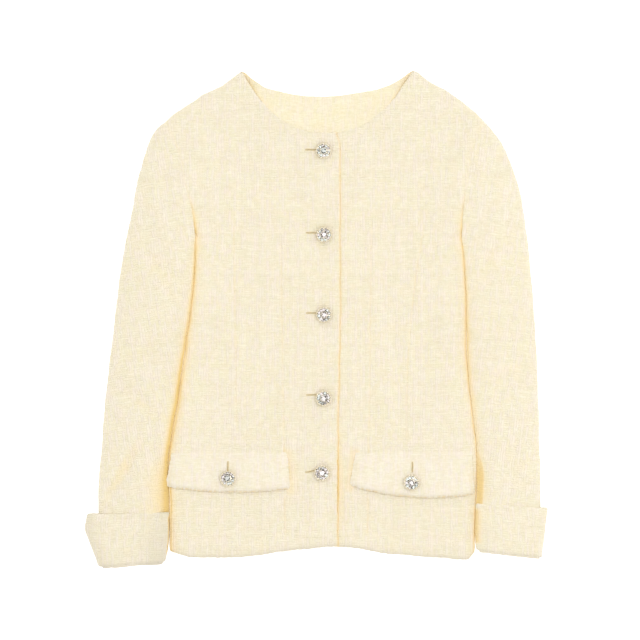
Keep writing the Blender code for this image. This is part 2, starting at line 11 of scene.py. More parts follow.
import bpy
import numpy as np
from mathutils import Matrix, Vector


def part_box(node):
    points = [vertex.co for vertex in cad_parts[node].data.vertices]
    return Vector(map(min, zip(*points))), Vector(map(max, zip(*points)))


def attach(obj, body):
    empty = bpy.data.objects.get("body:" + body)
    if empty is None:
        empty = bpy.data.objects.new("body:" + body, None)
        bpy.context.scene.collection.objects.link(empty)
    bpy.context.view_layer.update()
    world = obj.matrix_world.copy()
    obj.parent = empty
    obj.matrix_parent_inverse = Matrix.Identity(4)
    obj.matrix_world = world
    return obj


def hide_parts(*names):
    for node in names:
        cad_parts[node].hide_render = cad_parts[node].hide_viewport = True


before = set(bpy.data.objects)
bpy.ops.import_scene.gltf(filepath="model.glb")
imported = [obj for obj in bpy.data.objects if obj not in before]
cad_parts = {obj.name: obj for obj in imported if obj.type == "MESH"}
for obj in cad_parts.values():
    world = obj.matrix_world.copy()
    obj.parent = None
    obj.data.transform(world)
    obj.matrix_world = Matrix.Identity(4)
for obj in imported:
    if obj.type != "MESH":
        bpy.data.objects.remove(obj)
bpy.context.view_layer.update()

MM = 0.001
SIGN = {"right": -1.0, "left": 1.0}  # the wearer's right lies towards -X
TOP_BUTTON = (-4.0, 467.0)  # the top button's place in garment millimetres
low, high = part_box("button_front_1")
SHIFT = np.array([(low.x + high.x) / 2 / MM - TOP_BUTTON[0], (low.y + high.y) / 2 / MM - TOP_BUTTON[1], 0.0])
print("nodes", len(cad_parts), "- the garment's own origin is at", SHIFT.round(2), "mm")

# %% [markdown]
# ## The cut
# A jacket is cut from flat pieces, so its shape is held in a few short tables: the side seam, the armhole, how
# high the cloth stands off the surface, and the rows of each sleeve and cuff. A smooth curve is drawn through each
# column. Changing one number moves one place of one edge, as a cutter would. The outline could be drawn by hand as
# Bezier curves, but rows of numbers can be read, compared and changed one at a time.

# %% Sizes of the cut
TWEED, FLAP_CLOTH, CUFF_CLOTH, FACING_CLOTH = 2.4, 3.0, 2.6, 1.5  # how thick each cloth is
LAYER_GAP = 0.3
BODY_LENGTH, NECK_HALF, SHOULDER_TIP_UP, UNDERARM_UP = 558.0, 99.0, 500.0, 370.0
Neck = namedtuple("Neck", "drop power")
FRONT_NECK, BACK_NECK = Neck(70.5, 2.4), Neck(29.0, 2.6)
SHOULDER_BOW = {"right": 2.8, "left": 4.4}  # how far the shoulder seam bows out
HEM_ARCH, HEM_ARCH_HALF = 12.8, 112.0  # how far the hem rises at the centre, and over what half width
HEM_CORNER, HEM_CORNER_RISE = 13.0, 7.5
LAP_LEFT, LAP_BLEND = 15.0, 30.0
SIDE_ROLL, SHOULDER_ROLL, UNDERARM_ROLL, NECK_ROLL, LOFT_REACH = 10.0, 9.0, 22.0, 26.0, 42.0
NECK_SHARE, SIDE_SHARE, SLEEVE_BLEND = 0.53, 0.70, 0.24  # shares of a grid's width, its height, a sleeve's length
POINT_ROUNDING, POINT_REACH = 1.0, 3.5  # how much the high shoulder point is rounded off, and over what distance
PRESS = 0.6  # how far body and sleeve press into each other where they touch
OPEN_FOLD, PRESSED_FOLD = 0.5, 0.94  # height of a free fold, and of one pressed against its neighbour, as shares
FAR = 99.0  # a distance beyond the reach of any shade or relief
print("body", BODY_LENGTH, "mm long, neck", 2 * NECK_HALF, "mm wide")

# %% Tables of the cut
def table(fields, *rows):
    """A list of rows, the numbers in each under the names of the fields."""
    kind = namedtuple("Row", fields)
    return [kind(*row) for row in rows]


SIDE_LINE = table(
    "up right left",
    (0, 180.0, 168.6), (60, 181.1, 170.4), (120, 180.2, 171.8), (180, 171.0, 164.3),
    (240, 162.8, 160.0), (300, 154.4, 158.4), (340, 151.3, 156.8), (370, 151.2, 154.7))
ARMHOLE_LINE = table(
    "up right left",
    (370, 151.2, 154.7), (385, 152.6, 154.9), (400, 154.9, 156.0), (430, 162.4, 160.2),
    (465, 169.5, 166.0), (485, 177.0, 173.0), (500, 185.5, 182.0))
FRONT_EDGE = table(  # how far each front's edge lies past the centre line
    "up right left",
    (0, 11.8, 15), (150, 12.0, 15), (187, 12.7, 15), (235, 13.7, 15), (270, 14.5, 15), (342, 14.6, 15),
    (410, 14.4, 15), (445, 14.5, 15), (468, 14.2, 15), (479, 12.8, 15), (486, 10.6, 15), (560, 10.6, 15))
BODY_LOFT = table(
    "up middle side",
    (0, 7.6, 14.5), (60, 7.8, 15.5), (120, 8.0, 17.0), (240, 8.0, 18.0),
    (370, 8.6, 21.0), (430, 9.0, 23.0), (500, 9.4, 20.0), (560, 9.6, 15.0))
SLEEVE_FIELDS = "outer_out outer_up inner_out inner_up base loft"
SLEEVES = {
    "right": table(
        SLEEVE_FIELDS,
        (185.5, 500, 151.8, 370, 0, 21), (204.7, 475, 152.5, 358, 0, 24), (216.2, 438, 152.7, 344, 0, 26.5),
        (224.8, 394.5, 153.6, 325, 0, 28), (235.8, 337, 158.2, 285, 0, 28), (246.1, 254, 165.2, 233, 0, 27),
        (254.2, 186, 172.8, 179, 0, 26), (259.3, 123, 182.6, 123, 0.4, 26.2), (262.8, 66, 189.6, 69, 3.1, 26),
        (258.2, -7.8, 188.6, -1.3, 3.1, 21.3)),
    "left": table(
        SLEEVE_FIELDS,
        (182, 500, 155.3, 370, 0, 21), (201, 475.5, 156.9, 358, 0, 24), (211.8, 448, 158, 345, 0, 26.5),
        (223.5, 401, 159, 325, 0, 28), (232.6, 337, 160, 288, 0, 28), (239.6, 254, 161.6, 236, 0, 27),
        (242.6, 186, 165.7, 181, 0, 26), (244.2, 123, 173.2, 125, 0.4, 26), (245.2, 72, 177, 76, 3.1, 25.6),
        (244.2, 3.7, 175, 11.7, 3.1, 21.3)),
}
CUFF_FIELDS = "outer_out outer_up inner_out inner_up loft"
CUFFS = {
    "right": table(CUFF_FIELDS, (275.2, 49.5, 181.6, 51.8, 31.5), (277.2, 31, 181.3, 33, 31),
                   (270, 10, 182.0, 14, 29.5), (261.3, -11, 185.3, -6.3, 27.5)),
    "left": table(CUFF_FIELDS, (254, 56.3, 170.8, 62, 31), (252, 36, 170.2, 42, 30.5),
                  (250.5, 18, 170.0, 25, 29.5), (247.3, 0.5, 171.2, 8.5, 27.5)),
}
FlapCorners = namedtuple("FlapCorners", "top_in top_out bottom_in bottom_out belly")
FLAPS = {
    "right": FlapCorners((46.5, 119.8), (176.6, 119.0), (42.9, 78.9), (184.4, 82.0), 5.2),
    "left": FlapCorners((33.4, 119.8), (166.2, 120.8), (27.1, 82.8), (168.8, 73.3), 8.5),
}
print("side seam", len(SIDE_LINE), "rows, sleeve", len(SLEEVES["right"]), "rows, cuff", len(CUFFS["right"]), "rows")

# %% Places where the cloth settled off its cut
NUDGES = table(  # x is towards the wearer's left; all in garment millimetres
    "x up reach by_x by_up",
    (-198, 491, 13, -1.9, 2.1), (-120, 543, 8, 0, -1.4), (-146, 531, 8, 0, 1.6), (-72, 541, 9, 0, -2.2),
    (136, 536, 20, 0.6, 2.2), (165, 517, 10, 0, -1.3), (177, 508, 8, -0.6, -1.0), (102, 556, 20, 0.5, 2.6),
    (-94, 557, 8, 0, 2.6), (221, 424, 28, 2.0, 0.3), (38, 531, 34, 0, 2.2), (-171, 1, 11, 0, 3.9),
    (-25, 10, 24, 0, -1.6), (92, 3, 18, 0, 1.7), (164, -1, 8, 0, -2.2), (-279, 33, 8, -1.3, 0),
    (-215, -8, 22, 0, 1.3), (249, 15, 20, -1.2, 0), (-181, 112, 24, -1.5, 0), (166, 172, 28, 1.0, 0),
    (158, 290, 34, 0.9, 0), (228, 370, 40, 1.2, 0), (150, -1, 18, 0, -1.8), (249, 0, 6, 0.4, -2.0),
    (-266, -10, 6, -0.4, -2.2))
print("places nudged:", len(NUDGES))

# %% [markdown]
# ## Curves
# A few small curves shape nearly everything: a smooth line through a table's column, an ease that starts and ends
# level, a quarter turn for a fold, a turn about a point, points on a circle, and a bell for anything that fades to
# both sides. Blender's curve objects could do this as well, but plain functions work on whole arrays of points at
# once.

# %% Curve helpers
def column(rows, name):
    """One named column of a table, as an array."""
    return np.array([getattr(row, name) for row in rows], float)


def through(keys, values, at):
    """Cubic between keys; the slope at each key is the mean of the slopes on both sides of it."""
    at = np.clip(np.asarray(at, float), keys[0], keys[-1])
    slopes = np.gradient(values, keys)
    i = np.clip(np.searchsorted(keys, at, side="right") - 1, 0, len(keys) - 2)
    step = keys[i + 1] - keys[i]
    t = (at - keys[i]) / step
    start = (1 + 2 * t) * (1 - t) ** 2 * values[i] + t * (1 - t) ** 2 * step * slopes[i]
    return start + t * t * (3 - 2 * t) * values[i + 1] + t * t * (t - 1) * step * slopes[i + 1]


def by_height(rows, name, up):
    """The curve through one column of a table, over the column of its heights."""
    return through(column(rows, "up"), column(rows, name), up)


def by_share(rows, at):
    """The curves through all columns of a table, its rows evenly spaced from 0 to 1."""
    keys = np.linspace(0, 1, len(rows))
    return {name: through(keys, column(rows, name), at) for name in rows[0]._fields}


print("the side seam half way up:", by_height(SIDE_LINE, "right", 185.0).round(1), "mm out")

# %% Eases, turns and bells
def ease(t):
    """3t^2 - 2t^3, held at 0 below 0 and at 1 above 1."""
    t = np.clip(t, 0.0, 1.0)
    return t * t * (3 - 2 * t)


def roll(distance, radius, at_edge):
    """A quarter turn: at_edge at the edge, rising as a circle does to 1 at a radius inwards."""
    t = 1 - np.clip(distance / radius, 0.0, 1.0)
    return np.sqrt(1 - t * t * (1 - at_edge**2))


def unit(vectors):
    """Vectors divided by their length."""
    return vectors / np.maximum(np.linalg.norm(vectors, axis=-1, keepdims=True), 1e-12)


def turned(x, y, angle):
    """Both coordinates turned by an angle in radians, anticlockwise."""
    c, s = np.cos(angle), np.sin(angle)
    return x * c - y * s, x * s + y * c


def on_circle(radius, angles, height):
    """Points round a circle: the radius times cosine and sine of each angle, and the height."""
    return np.stack(np.broadcast_arrays(radius * np.cos(angles), radius * np.sin(angles), height), -1)


def bell(distance, width):
    """exp(-(distance / width)^2): 1 on the line, fading to both sides."""
    return np.exp(-((distance / width) ** 2))


def bands(distance, *amounts_widths):
    """A sum of bells over one distance, each given as its amount and its width in millimetres."""
    return sum(amount * bell(distance, width) for amount, width in amounts_widths)


print("ease at a quarter:", round(float(ease(0.25)), 3))

# %% [markdown]
# ## The body's outline and how high it lies
# Laid flat, the jacket keeps a little height: it is low over the middle, where the layers lie on each other, and
# fuller along the sides, where the cloth turns. The right front climbs onto the left front at the centre. A cloth
# simulation could settle the panels too, but it is hard to steer to measured heights, so two smooth rules over a
# table are used.

# %% Outline and loft of the body
def side_out(side, up):
    """Distance of the side seam from the centre line, plus the press against the sleeve below the underarm."""
    return by_height(SIDE_LINE, side, up) + PRESS * ease((UNDERARM_UP - np.asarray(up, float)) / 40)


def armhole_out(side, up):
    """Distance of the armhole seam from the centre line at a height up."""
    return by_height(ARMHOLE_LINE, side, up)


def hem_up(side, out):
    """The hem's height: half a cosine wave up at the centre, and a rounded corner at the side."""
    arch = HEM_ARCH * (1 + np.cos(np.pi * np.clip(np.abs(out) / HEM_ARCH_HALF, 0, 1))) / 2
    corner = np.clip((out - side_out(side, 0) + HEM_CORNER) / HEM_CORNER, 0, 1)
    return arch + HEM_CORNER_RISE * corner**2


def neck_up(out, neck):
    """The neck's edge: its drop times the share of the half width, raised to its curve's power."""
    return BODY_LENGTH - neck.drop + neck.drop * np.abs(out / NECK_HALF) ** neck.power


def body_loft(side, out, up):
    """Height of the body's upper face: the middle's, rising as a bell towards the side's along the edge."""
    middle, full = by_height(BODY_LOFT, "middle", up), by_height(BODY_LOFT, "side", up)
    edge = np.where(up < UNDERARM_UP, side_out(side, up), armhole_out(side, up))
    return middle + (full - middle) * bell(np.clip(edge - out, 0, None), LOFT_REACH)


def lap(side, out):
    """How far the right front stands up where it lies on the left one; the left front lies flat."""
    return (TWEED + LAYER_GAP) * ease((LAP_LEFT + LAP_BLEND - out) / LAP_BLEND) * (side == "right")


print("loft at the chest, middle and side:", np.round(body_loft("right", np.array([20.0, 150.0]), 400.0), 1), "mm")

# %% [markdown]
# ## Grids of the body
# Half of the body is a sheet stretched between four edges: hem, neck with shoulder, centre, and side with armhole.
# Each inner point is the sum of an even run between hem and top and one between centre and side, less the plane
# through the corners (a Coons patch). Rows and columns close up where the cloth turns. A flat outline could be
# filled with faces instead, but rows and columns let seams share their points and give the weave a direction.

# %% Rows and columns of a half
Fineness = namedtuple("Fineness", "neck shoulder roll side armhole")
FRONT_GRID = Fineness(neck=84, shoulder=56, roll=20, side=316, armhole=124)
BACK_GRID = Fineness(neck=44, shoulder=28, roll=12, side=156, armhole=64)
FACING_GRID = Fineness(neck=120, shoulder=12, roll=8, side=40, armhole=120)


def shares_up(fine):
    """Even rows to the underarm, then rows on half a cosine wave, closer at both ends of the armhole."""
    side = np.linspace(0, SIDE_SHARE, fine.side + 1)[:-1]
    turn = (1 - np.cos(np.linspace(0, np.pi, fine.armhole + 1))) / 2
    return np.concatenate([side, SIDE_SHARE + (1 - SIDE_SHARE) * turn])


def shares_across(fine):
    """Even columns over neck and shoulder, then columns at even angles round the side's roll."""
    angles = np.linspace(np.pi / 2, 0, fine.roll + 1)
    rolled = 1 - SIDE_ROLL / column(SIDE_LINE, "right")[-1] * (1 - np.cos(angles))
    neck = np.linspace(0, NECK_SHARE, fine.neck + 1)[:-1]
    shoulder = np.linspace(NECK_SHARE, rolled[0], fine.shoulder + 1)[:-1]
    return np.concatenate([neck, shoulder, rolled])


print("rows and columns of a front:", len(shares_up(FRONT_GRID)), len(shares_across(FRONT_GRID)))

# %% Half of the body in plan
def half_plan(side, edge, neck, fine):
    """The half's grid in plan, rows of (out, up) from hem to top. edge(up) is its centre edge's out."""
    across, along = shares_across(fine), shares_up(fine)
    tip = np.array([armhole_out(side, SHOULDER_TIP_UP), SHOULDER_TIP_UP])
    high_point = np.array([NECK_HALF, BODY_LENGTH])
    hem_out = edge(0.0) + across * (side_out(side, 0) - edge(0.0))
    hem = np.stack([hem_out, hem_up(side, hem_out)], -1)
    neck_out = edge(BODY_LENGTH) + np.clip(across / NECK_SHARE, 0, 1) * (NECK_HALF - edge(BODY_LENGTH))
    neck_edge = np.stack([neck_out, neck_up(neck_out, neck)], -1)
    s = np.clip((across - NECK_SHARE) / (1 - NECK_SHARE), 0, 1)[:, None]
    square = unit(np.array([high_point[1] - tip[1], tip[0] - high_point[0]]))
    bow = SHOULDER_BOW[side] * 9.48 * s**3 * (1 - s) * square  # 9.48 makes its highest point 1
    top = np.where(s > 0, high_point + s * (tip - high_point) + bow, neck_edge)
    from_point = np.linalg.norm(top - high_point, axis=-1)
    top[:, 1] -= POINT_ROUNDING * bell(from_point, POINT_REACH)
    centre_up = hem[0, 1] + along * (top[0, 1] - hem[0, 1])
    centre = np.stack([edge(centre_up), centre_up], -1)
    to_underarm = np.clip(along / SIDE_SHARE, 0, 1)
    to_tip = np.clip((along - SIDE_SHARE) / (1 - SIDE_SHARE), 0, 1)
    up = hem[-1, 1] + to_underarm * (UNDERARM_UP - hem[-1, 1]) + to_tip * (tip[1] - UNDERARM_UP)
    outer = np.stack([np.where(to_tip > 0, armhole_out(side, up), side_out(side, up)), up], -1)
    u, v = across[None, :, None], along[:, None, None]
    between = (1 - v) * hem[None] + v * top[None] + (1 - u) * centre[:, None] + u * outer[:, None]
    corners = (1 - u) * (1 - v) * hem[0] + u * (1 - v) * hem[-1] + (1 - u) * v * top[0] + u * v * top[-1]
    return between - corners


def front_edge(side):
    """The function that gives a front's centre edge: minus its table's reach past the centre line."""
    return lambda up: -by_height(FRONT_EDGE, side, up)


RIGHT_PLAN = half_plan("right", front_edge("right"), FRONT_NECK, FRONT_GRID)
print("a front reaches from", RIGHT_PLAN.min((0, 1)).round(1), "to", RIGHT_PLAN.max((0, 1)).round(1), "mm")

# %% Height of a half
def fullness(plan):
    """1 where the half lies open, falling as a quarter turn to 0 on the side and shoulder seams."""
    out, up = plan[..., 0], plan[..., 1]
    at_side = roll(np.clip(up[:, -1:] - UNDERARM_UP, 0, None), UNDERARM_ROLL, 0.0)
    side = roll(out[:, -1:] - out, SIDE_ROLL, at_side)
    at_top = roll(np.clip(NECK_HALF - out[-1:], 0, None), NECK_ROLL, 0.0)
    slope = NECK_HALF / np.hypot(NECK_HALF, BODY_LENGTH - UNDERARM_UP)
    return side * roll((up[-1:] - up) * (1 - slope / 4), SHOULDER_ROLL, at_top)


def fold_height(pressed, full, layer):
    """Share of the loft at a fullness: the upper face runs from the fold's height to 1, the under one to 0."""
    fold = OPEN_FOLD + (PRESSED_FOLD - OPEN_FOLD) * pressed
    return fold + (1 - fold) * full if layer == "upper" else fold * (1 - full)


def half_face(side, layer, edge, neck, fine):
    """Outer face of a half: the loft times the fold's share. The side is pressed below the underarm."""
    plan = half_plan(side, edge, neck, fine)
    full = fullness(plan)
    pressed = ease((UNDERARM_UP + 60 - plan[..., 1]) / 50)
    height = body_loft(side, plan[..., 0], plan[..., 1]) * fold_height(pressed, full, layer)
    return np.dstack([plan, height]), full


print("share of a front that lies open:", round(float((fullness(RIGHT_PLAN) > 0.999).mean()), 2))

# %% [markdown]
# ## Which way the cloth faces
# A wall of cloth needs to know its outward direction at each point, to give it thickness and relief. It is the
# cross product of the grid's two directions. On a seam both walls have to meet square, so there the direction is
# set level and outwards. Blender can give normals too, but they are needed here before there is a mesh.

# %% Normals of the body's faces
def face_normals(points, towards):
    """Cross product of the grid's two directions, as unit vectors turned to the given side."""
    normals = unit(np.cross(np.gradient(points, axis=1), np.gradient(points, axis=0)))
    return normals * np.sign((normals * np.asarray(towards, float)).sum(-1).mean())


def seam_normals(points, full, layer, fine):
    """The face's own normals; on the side, armhole and shoulder seams they lean level as fullness goes to 0."""
    rise = np.array([0, 0, 1.0 if layer == "upper" else -1.0])
    normals = face_normals(points, rise)
    tip = points[-1, -1]
    shoulder = unit(np.array([BODY_LENGTH - tip[1], tip[0] - NECK_HALF, 0.0]))
    crotch = np.array([0.35, -1.0, 0.0])
    normals[:fine.side, -1] = (1, 0, 0)
    turn = np.linspace(0, 1, fine.armhole + 1)[:, None]
    g = full[fine.side:, -1:]
    normals[fine.side:, -1] = np.sqrt(1 - g * g) * unit((1 - turn) * crotch + turn * shoulder) + g * rise
    g = full[-1, :, None]
    normals[-1] = np.sqrt(1 - g * g) * shoulder + g * rise
    return unit(normals)


LEVEL_CELL = np.dstack(np.meshgrid([0.0, 1], [0.0, 1]) + [np.zeros((2, 2))])
print("a level cell faces", face_normals(LEVEL_CELL, (0, 0, 1))[0, 0])

# %% [markdown]
# ## Grids of sleeves and cuffs
# A sleeve is a flattened tube in two halves that meet on its folds. Each ring runs straight from the outer fold to
# the inner fold in plan and swells between them. The first rings ease out of the armhole's own shape. A curve with
# a bevel could sweep such a tube, but its first ring couldn't take the armhole's shape.

# %% Sleeve and cuff grids
SLEEVE_GRID = {"upper": (76, 420), "under": (48, 200)}  # cells across and along
SWELL_POWER = {"upper": 0.75, "under": 0.45}  # of the sine across a tube: the lower, the flatter and fuller
UNDER_FULLNESS = 1.12  # the under half's swell is raised by this and cut off at 1, which makes it flat
CUFF_SHADE_REACH = 75  # millimetres above a cuff over which the sleeve's inner side sinks into shade
INNER_PRESS, INNER_SINK = 0.45, {"right": 0.55, "left": 0.25}  # press of the inner fold, and less beside the cuff


def half_ring(layer, count):
    """A power of the sine across the tube: full in the middle, 0 at both folds; flatter underneath."""
    swell = np.sin(np.linspace(0, np.pi, count)) ** SWELL_POWER[layer]
    return swell if layer == "upper" else np.clip(UNDER_FULLNESS * swell, 0, 1)


def beside_cuff(side, up):
    """1 just above the cuff, easing to 0 at the reach of its shade."""
    above = up - CUFFS[side][0].inner_up
    return ease((above + 6) / 6) * ease((CUFF_SHADE_REACH - above) / 45)


def sleeve_face(side, layer, armhole):
    """Outer face of half a sleeve: rings from armhole to wrist, points from outer to inner fold."""
    across, rings = SLEEVE_GRID[layer]
    at = np.linspace(0, 1, rings + 1)
    rows = by_share(SLEEVES[side], at[:, None])
    share = (1 - np.cos(np.linspace(0, np.pi, across + 1)))[None] / 2
    inner_out = rows["inner_out"] - PRESS
    above_cuff = ease((rows["inner_up"] - CUFFS[side][0].inner_up + 3) / 2)
    inner_out = inner_out - above_cuff * (inner_out - side_out(side, rows["inner_up"])).clip(0, None)
    out = rows["outer_out"] + share * (inner_out - rows["outer_out"])
    up = rows["outer_up"] + share * (rows["inner_up"] - rows["outer_up"])
    near_cuff = ease((CUFFS[side][0].inner_up + 45 - rows["inner_up"]) / 35)
    inner_side = ease(2 * share - 1)
    beside = beside_cuff(side, rows["inner_up"])
    power = (1 + 0.5 * inner_side) * (1 - 0.42 * near_cuff) + 0.9 * beside * ease((share - 0.7) / 0.3)
    swell = half_ring(layer, across + 1)[None] ** power
    pressed = inner_side * (INNER_PRESS - INNER_SINK[side] * beside) * above_cuff
    height = rows["base"].clip(0, None) + rows["loft"] * fold_height(pressed, swell, layer)
    points = np.dstack([out, up, height])
    index = np.linspace(len(armhole) - 1, 0, across + 1)
    start = np.stack([np.interp(index, np.arange(len(armhole)), armhole[:, k]) for k in range(3)], -1)
    fade = 1 - ease(at / SLEEVE_BLEND)
    return points + fade[:, None, None] * (start - points[0])


def tube_ring(outer, inner, loft, inset, sides, lower=0.0):
    """A closed flattened ring: a cosine between the folds in plan, and a power of the sine in height. It is set
    in from the cuff's outer face by inset all round, and by lower in height alone."""
    outer, inner = np.asarray(outer, float), np.asarray(inner, float)
    middle, half = (outer + inner) / 2, (outer - inner) / 2
    reach = np.linalg.norm(half)
    angles = np.linspace(0, 2 * np.pi, sides, endpoint=False)
    above, swell = np.sin(angles) >= 0, np.abs(np.sin(angles))
    flatter = np.clip(UNDER_FULLNESS * swell ** SWELL_POWER["under"], 0, 1)
    swell = np.where(above, swell ** SWELL_POWER["upper"], -flatter)
    plan = middle + np.cos(angles)[:, None] * half * (reach - inset) / reach
    return np.column_stack([plan, loft / 2 + swell * (loft / 2 - inset - lower)])


print("an upper sleeve has", SLEEVE_GRID["upper"], "cells across and along")

# %% [markdown]
# ## Boucle relief
# Boucle tweed is lumpy: slubs a few millimetres long stand up along the warp and the weft, and the whole cloth
# waves a little. The relief is a sum of smooth random heights at several sizes. Each comes from a fixed table of
# random numbers, read between its points with an ease, so it is the same on every run. A Displace modifier could
# lift the cloth as well, but here the relief has to follow each panel's grain and end at its seams.

# %% Smooth random heights
NOISE_TABLE = 97
RELIEF_SEED = {
    "front": {"right": 11, "left": 23}, "sleeve": {"right": 71, "left": 83}, "cuff": {"right": 97, "left": 109},
    "flap": {"right": 131, "left": 149}, "back": 37, "facing": 53, "outline": 301,
}
BOUCLE = table(  # warp slubs, weft slubs, knots, and two slow waves: size in millimetres, height and lowest value
    "across along height lowest",
    (3.1, 30.0, 0.17, 0), (24.0, 2.9, 0.12, 0), (3.4, 3.3, 0.05, -1), (34.0, 47.0, 0.26, -1), (13.0, 26.0, 0.06, -1))


def random_heights(x, y, seed):
    """Heights between -1 and 1 from a square table, blended by an ease between four neighbours."""
    heights = np.random.default_rng(seed).uniform(-1, 1, (NOISE_TABLE, NOISE_TABLE))
    column_at, row_at = np.floor(x).astype(int), np.floor(y).astype(int)
    tx, ty = ease(x - column_at), ease(y - row_at)
    c0, r0 = column_at % NOISE_TABLE, row_at % NOISE_TABLE
    c1, r1 = (c0 + 1) % NOISE_TABLE, (r0 + 1) % NOISE_TABLE
    lower = heights[r0, c0] * (1 - tx) + heights[r0, c1] * tx
    upper = heights[r1, c0] * (1 - tx) + heights[r1, c1] * tx
    return lower * (1 - ty) + upper * ty


def boucle_relief(place, seed):
    """Millimetres of relief: the sum of the boucle table's layers, each a smooth random height of its size."""
    total = 0.0
    for number, layer in enumerate(BOUCLE):
        heights = random_heights(place[..., 0] / layer.across, place[..., 1] / layer.along, seed + number)
        total = total + layer.height * heights.clip(layer.lowest, None)
    return total


def cloth_place(points, turn=0.0):
    """Where each point is on its cloth, in millimetres: its plan turned by an angle to the grain, plus the
    extra length that the cloth's rise takes along each grid direction."""
    place = []
    for axis, flat in zip((1, 0), turned(points[..., 0], points[..., 1], turn)):
        steps = np.diff(points, axis=axis)
        longer = np.linalg.norm(steps, axis=-1) - np.hypot(steps[..., 0], steps[..., 1])
        pad = [(0, 0), (0, 0)]
        pad[axis] = (1, 0)
        direction = np.sign(np.diff(flat, axis=axis).mean())
        place.append(flat + direction * np.pad(np.cumsum(longer, axis=axis), pad))
    return np.dstack(place + [np.zeros_like(place[0])])


print("relief at one place:", np.round(boucle_relief(np.full((1, 1, 2), 40.0), 3), 2).ravel(), "mm")

# %% [markdown]
# ## Seams, darts and creases
# A sewn line is a narrow trough with a little puckering beside it. A crease is a soft trough, or a ridge where its
# depth is negative. Both are bells across their own line. They are listed one by one, uneven in length, depth and
# spacing, and the hidden sides have similar ones. They could be sculpted, but a row of numbers for each one is
# easier to change, and comes out the same every time.

# %% Sewn lines and creases
SEWN_FIELDS = "low high out_low out_middle out_high depth"
SEWN_LINES = {
    "right": table(SEWN_FIELDS, (10, 382, 47.5, 50.5, 53.5, 0.75), (140, 392, 103.5, 105.5, 107.0, 0.6)),
    "left": table(SEWN_FIELDS, (12, 396, 46.5, 49.0, 51.5, 0.75), (128, 384, 92.0, 95.0, 112.0, 0.7)),
    "back": table(SEWN_FIELDS, (8, 528, -1.0, 0.0, 0.5, 0.5), (6, 400, 84.0, 88.0, 104.0, 0.5),
                  (6, 402, -86.0, -89.0, -103.0, 0.5)),
}
CREASE_FIELDS = "out up reach_out reach_up depth width"
SLEEVE_CREASES = {
    "right": table(
        CREASE_FIELDS,
        (236, 97, 20, -34, 3.1, 6.6), (220, 90, 13, -22, -1.2, 9), (214, 176, 30, 22, 1.3, 11),
        (206, 238, 34, -16, 1.2, 12), (190, 336, 22, 30, 1.4, 13), (208, 132, 20, 12, 0.6, 5),
        (222, 292, 26, 10, 0.5, 7), (178, 300, 14, 22, 0.8, 6), (196, 402, 12, 34, -0.7, 8),
        (243, 214, 8, 26, -0.5, 6)),
    "left": table(
        CREASE_FIELDS,
        (214, 112, 26, -20, 1.3, 10), (208, 214, 30, 16, 1.4, 12), (200, 262, 26, -12, 1.0, 11),
        (186, 344, 20, 30, 1.4, 13), (226, 86, 18, -12, 0.8, 5), (196, 150, 20, 8, 0.6, 5),
        (216, 306, 24, -8, 0.5, 7), (176, 306, 14, 22, 0.8, 6), (194, 404, 12, 34, -0.7, 8),
        (232, 226, 8, 26, -0.5, 6)),
}
BODY_CREASES = {
    "right": table(
        CREASE_FIELDS,
        (150, 396, 26, 20, 1.0, 8), (140, 366, 30, 8, 0.7, 7), (108, 500, 30, 10, -0.6, 9),
        (138, 212, 40, 14, 0.6, 12), (60, 300, 16, 60, -0.35, 14), (120, 52, 46, 6, 0.5, 9)),
    "left": table(
        CREASE_FIELDS,
        (80, 250, 4, 80, 1.2, 15), (150, 398, 26, 18, 1.0, 8), (136, 362, 28, 10, 0.7, 7),
        (112, 498, 28, 12, -0.6, 9), (132, 236, 38, 12, 0.6, 12), (66, 286, 14, 56, -0.35, 14),
        (110, 48, 44, 5, 0.5, 9)),
}
CUFF_CREASES = {
    "right": table(CREASE_FIELDS, (250, 30, 30, 10, 0.7, 5), (212, 24, 22, -8, 0.6, 6), (266, 14, 14, 22, 0.6, 5)),
    "left": table(CREASE_FIELDS, (224, 34, 26, -8, 0.6, 6), (196, 28, 18, 10, 0.6, 5), (240, 24, 12, 18, 0.5, 5)),
}
CREASE_GAIN = 1.5  # every crease is this much deeper than its row says
THREAD_WIDTH, PUCKER_LENGTH = 1.1, 7.0


def crease_depth(creases, out, up):
    """Sum of bells: each is deepest on its own line, and fades along it and across it."""
    total = np.zeros_like(out)
    for c in creases:
        length = np.hypot(c.reach_out, c.reach_up)
        along = ((out - c.out) * c.reach_out + (up - c.up) * c.reach_up) / length
        across = ((up - c.up) * c.reach_out - (out - c.out) * c.reach_up) / length
        total += CREASE_GAIN * c.depth * bell(across, c.width) * bell(along, length)
    return total


def sewn_depth(lines, out, up):
    """A trough along each curved line, less a ridge 4 mm to both sides of it, and both swell with the puckers."""
    total = np.zeros_like(out)
    for number, line in enumerate(lines):
        share = (up - line.low) / (line.high - line.low)
        bend = line.out_middle - (line.out_low + line.out_high) / 2
        at = line.out_low + share * (line.out_high - line.out_low) + 4 * bend * share * (1 - share)
        ends = ease(share * 14) * ease((1 - share) * 14)
        pucker = 1 + 0.5 * random_heights(up / PUCKER_LENGTH, np.full_like(out, number * 3.5), 40)
        trough = bell(out - at, THREAD_WIDTH) - 0.35 * bell(np.abs(out - at) - 4.0, 2 * THREAD_WIDTH)
        total += line.depth * ends * trough * pucker
    return total


print("creases on a sleeve:", len(SLEEVE_CREASES["right"]), "- sewn lines on a front:", len(SEWN_LINES["right"]))

# %% [markdown]
# ## A wall of cloth
# Each panel is a closed wall: a fine outer face that carries the relief, a plain inner face with every fourth
# point, and a rounded rim between them, like a turned edge. The inner face's border cells keep all the points of
# the rim beside them, so the wall has no holes. The Solidify modifier gives thickness too, but neither a rounded
# rim nor a coarser inner face.

# %% Faces of a wall
INNER_STEP, RIM_RINGS = 4, 3


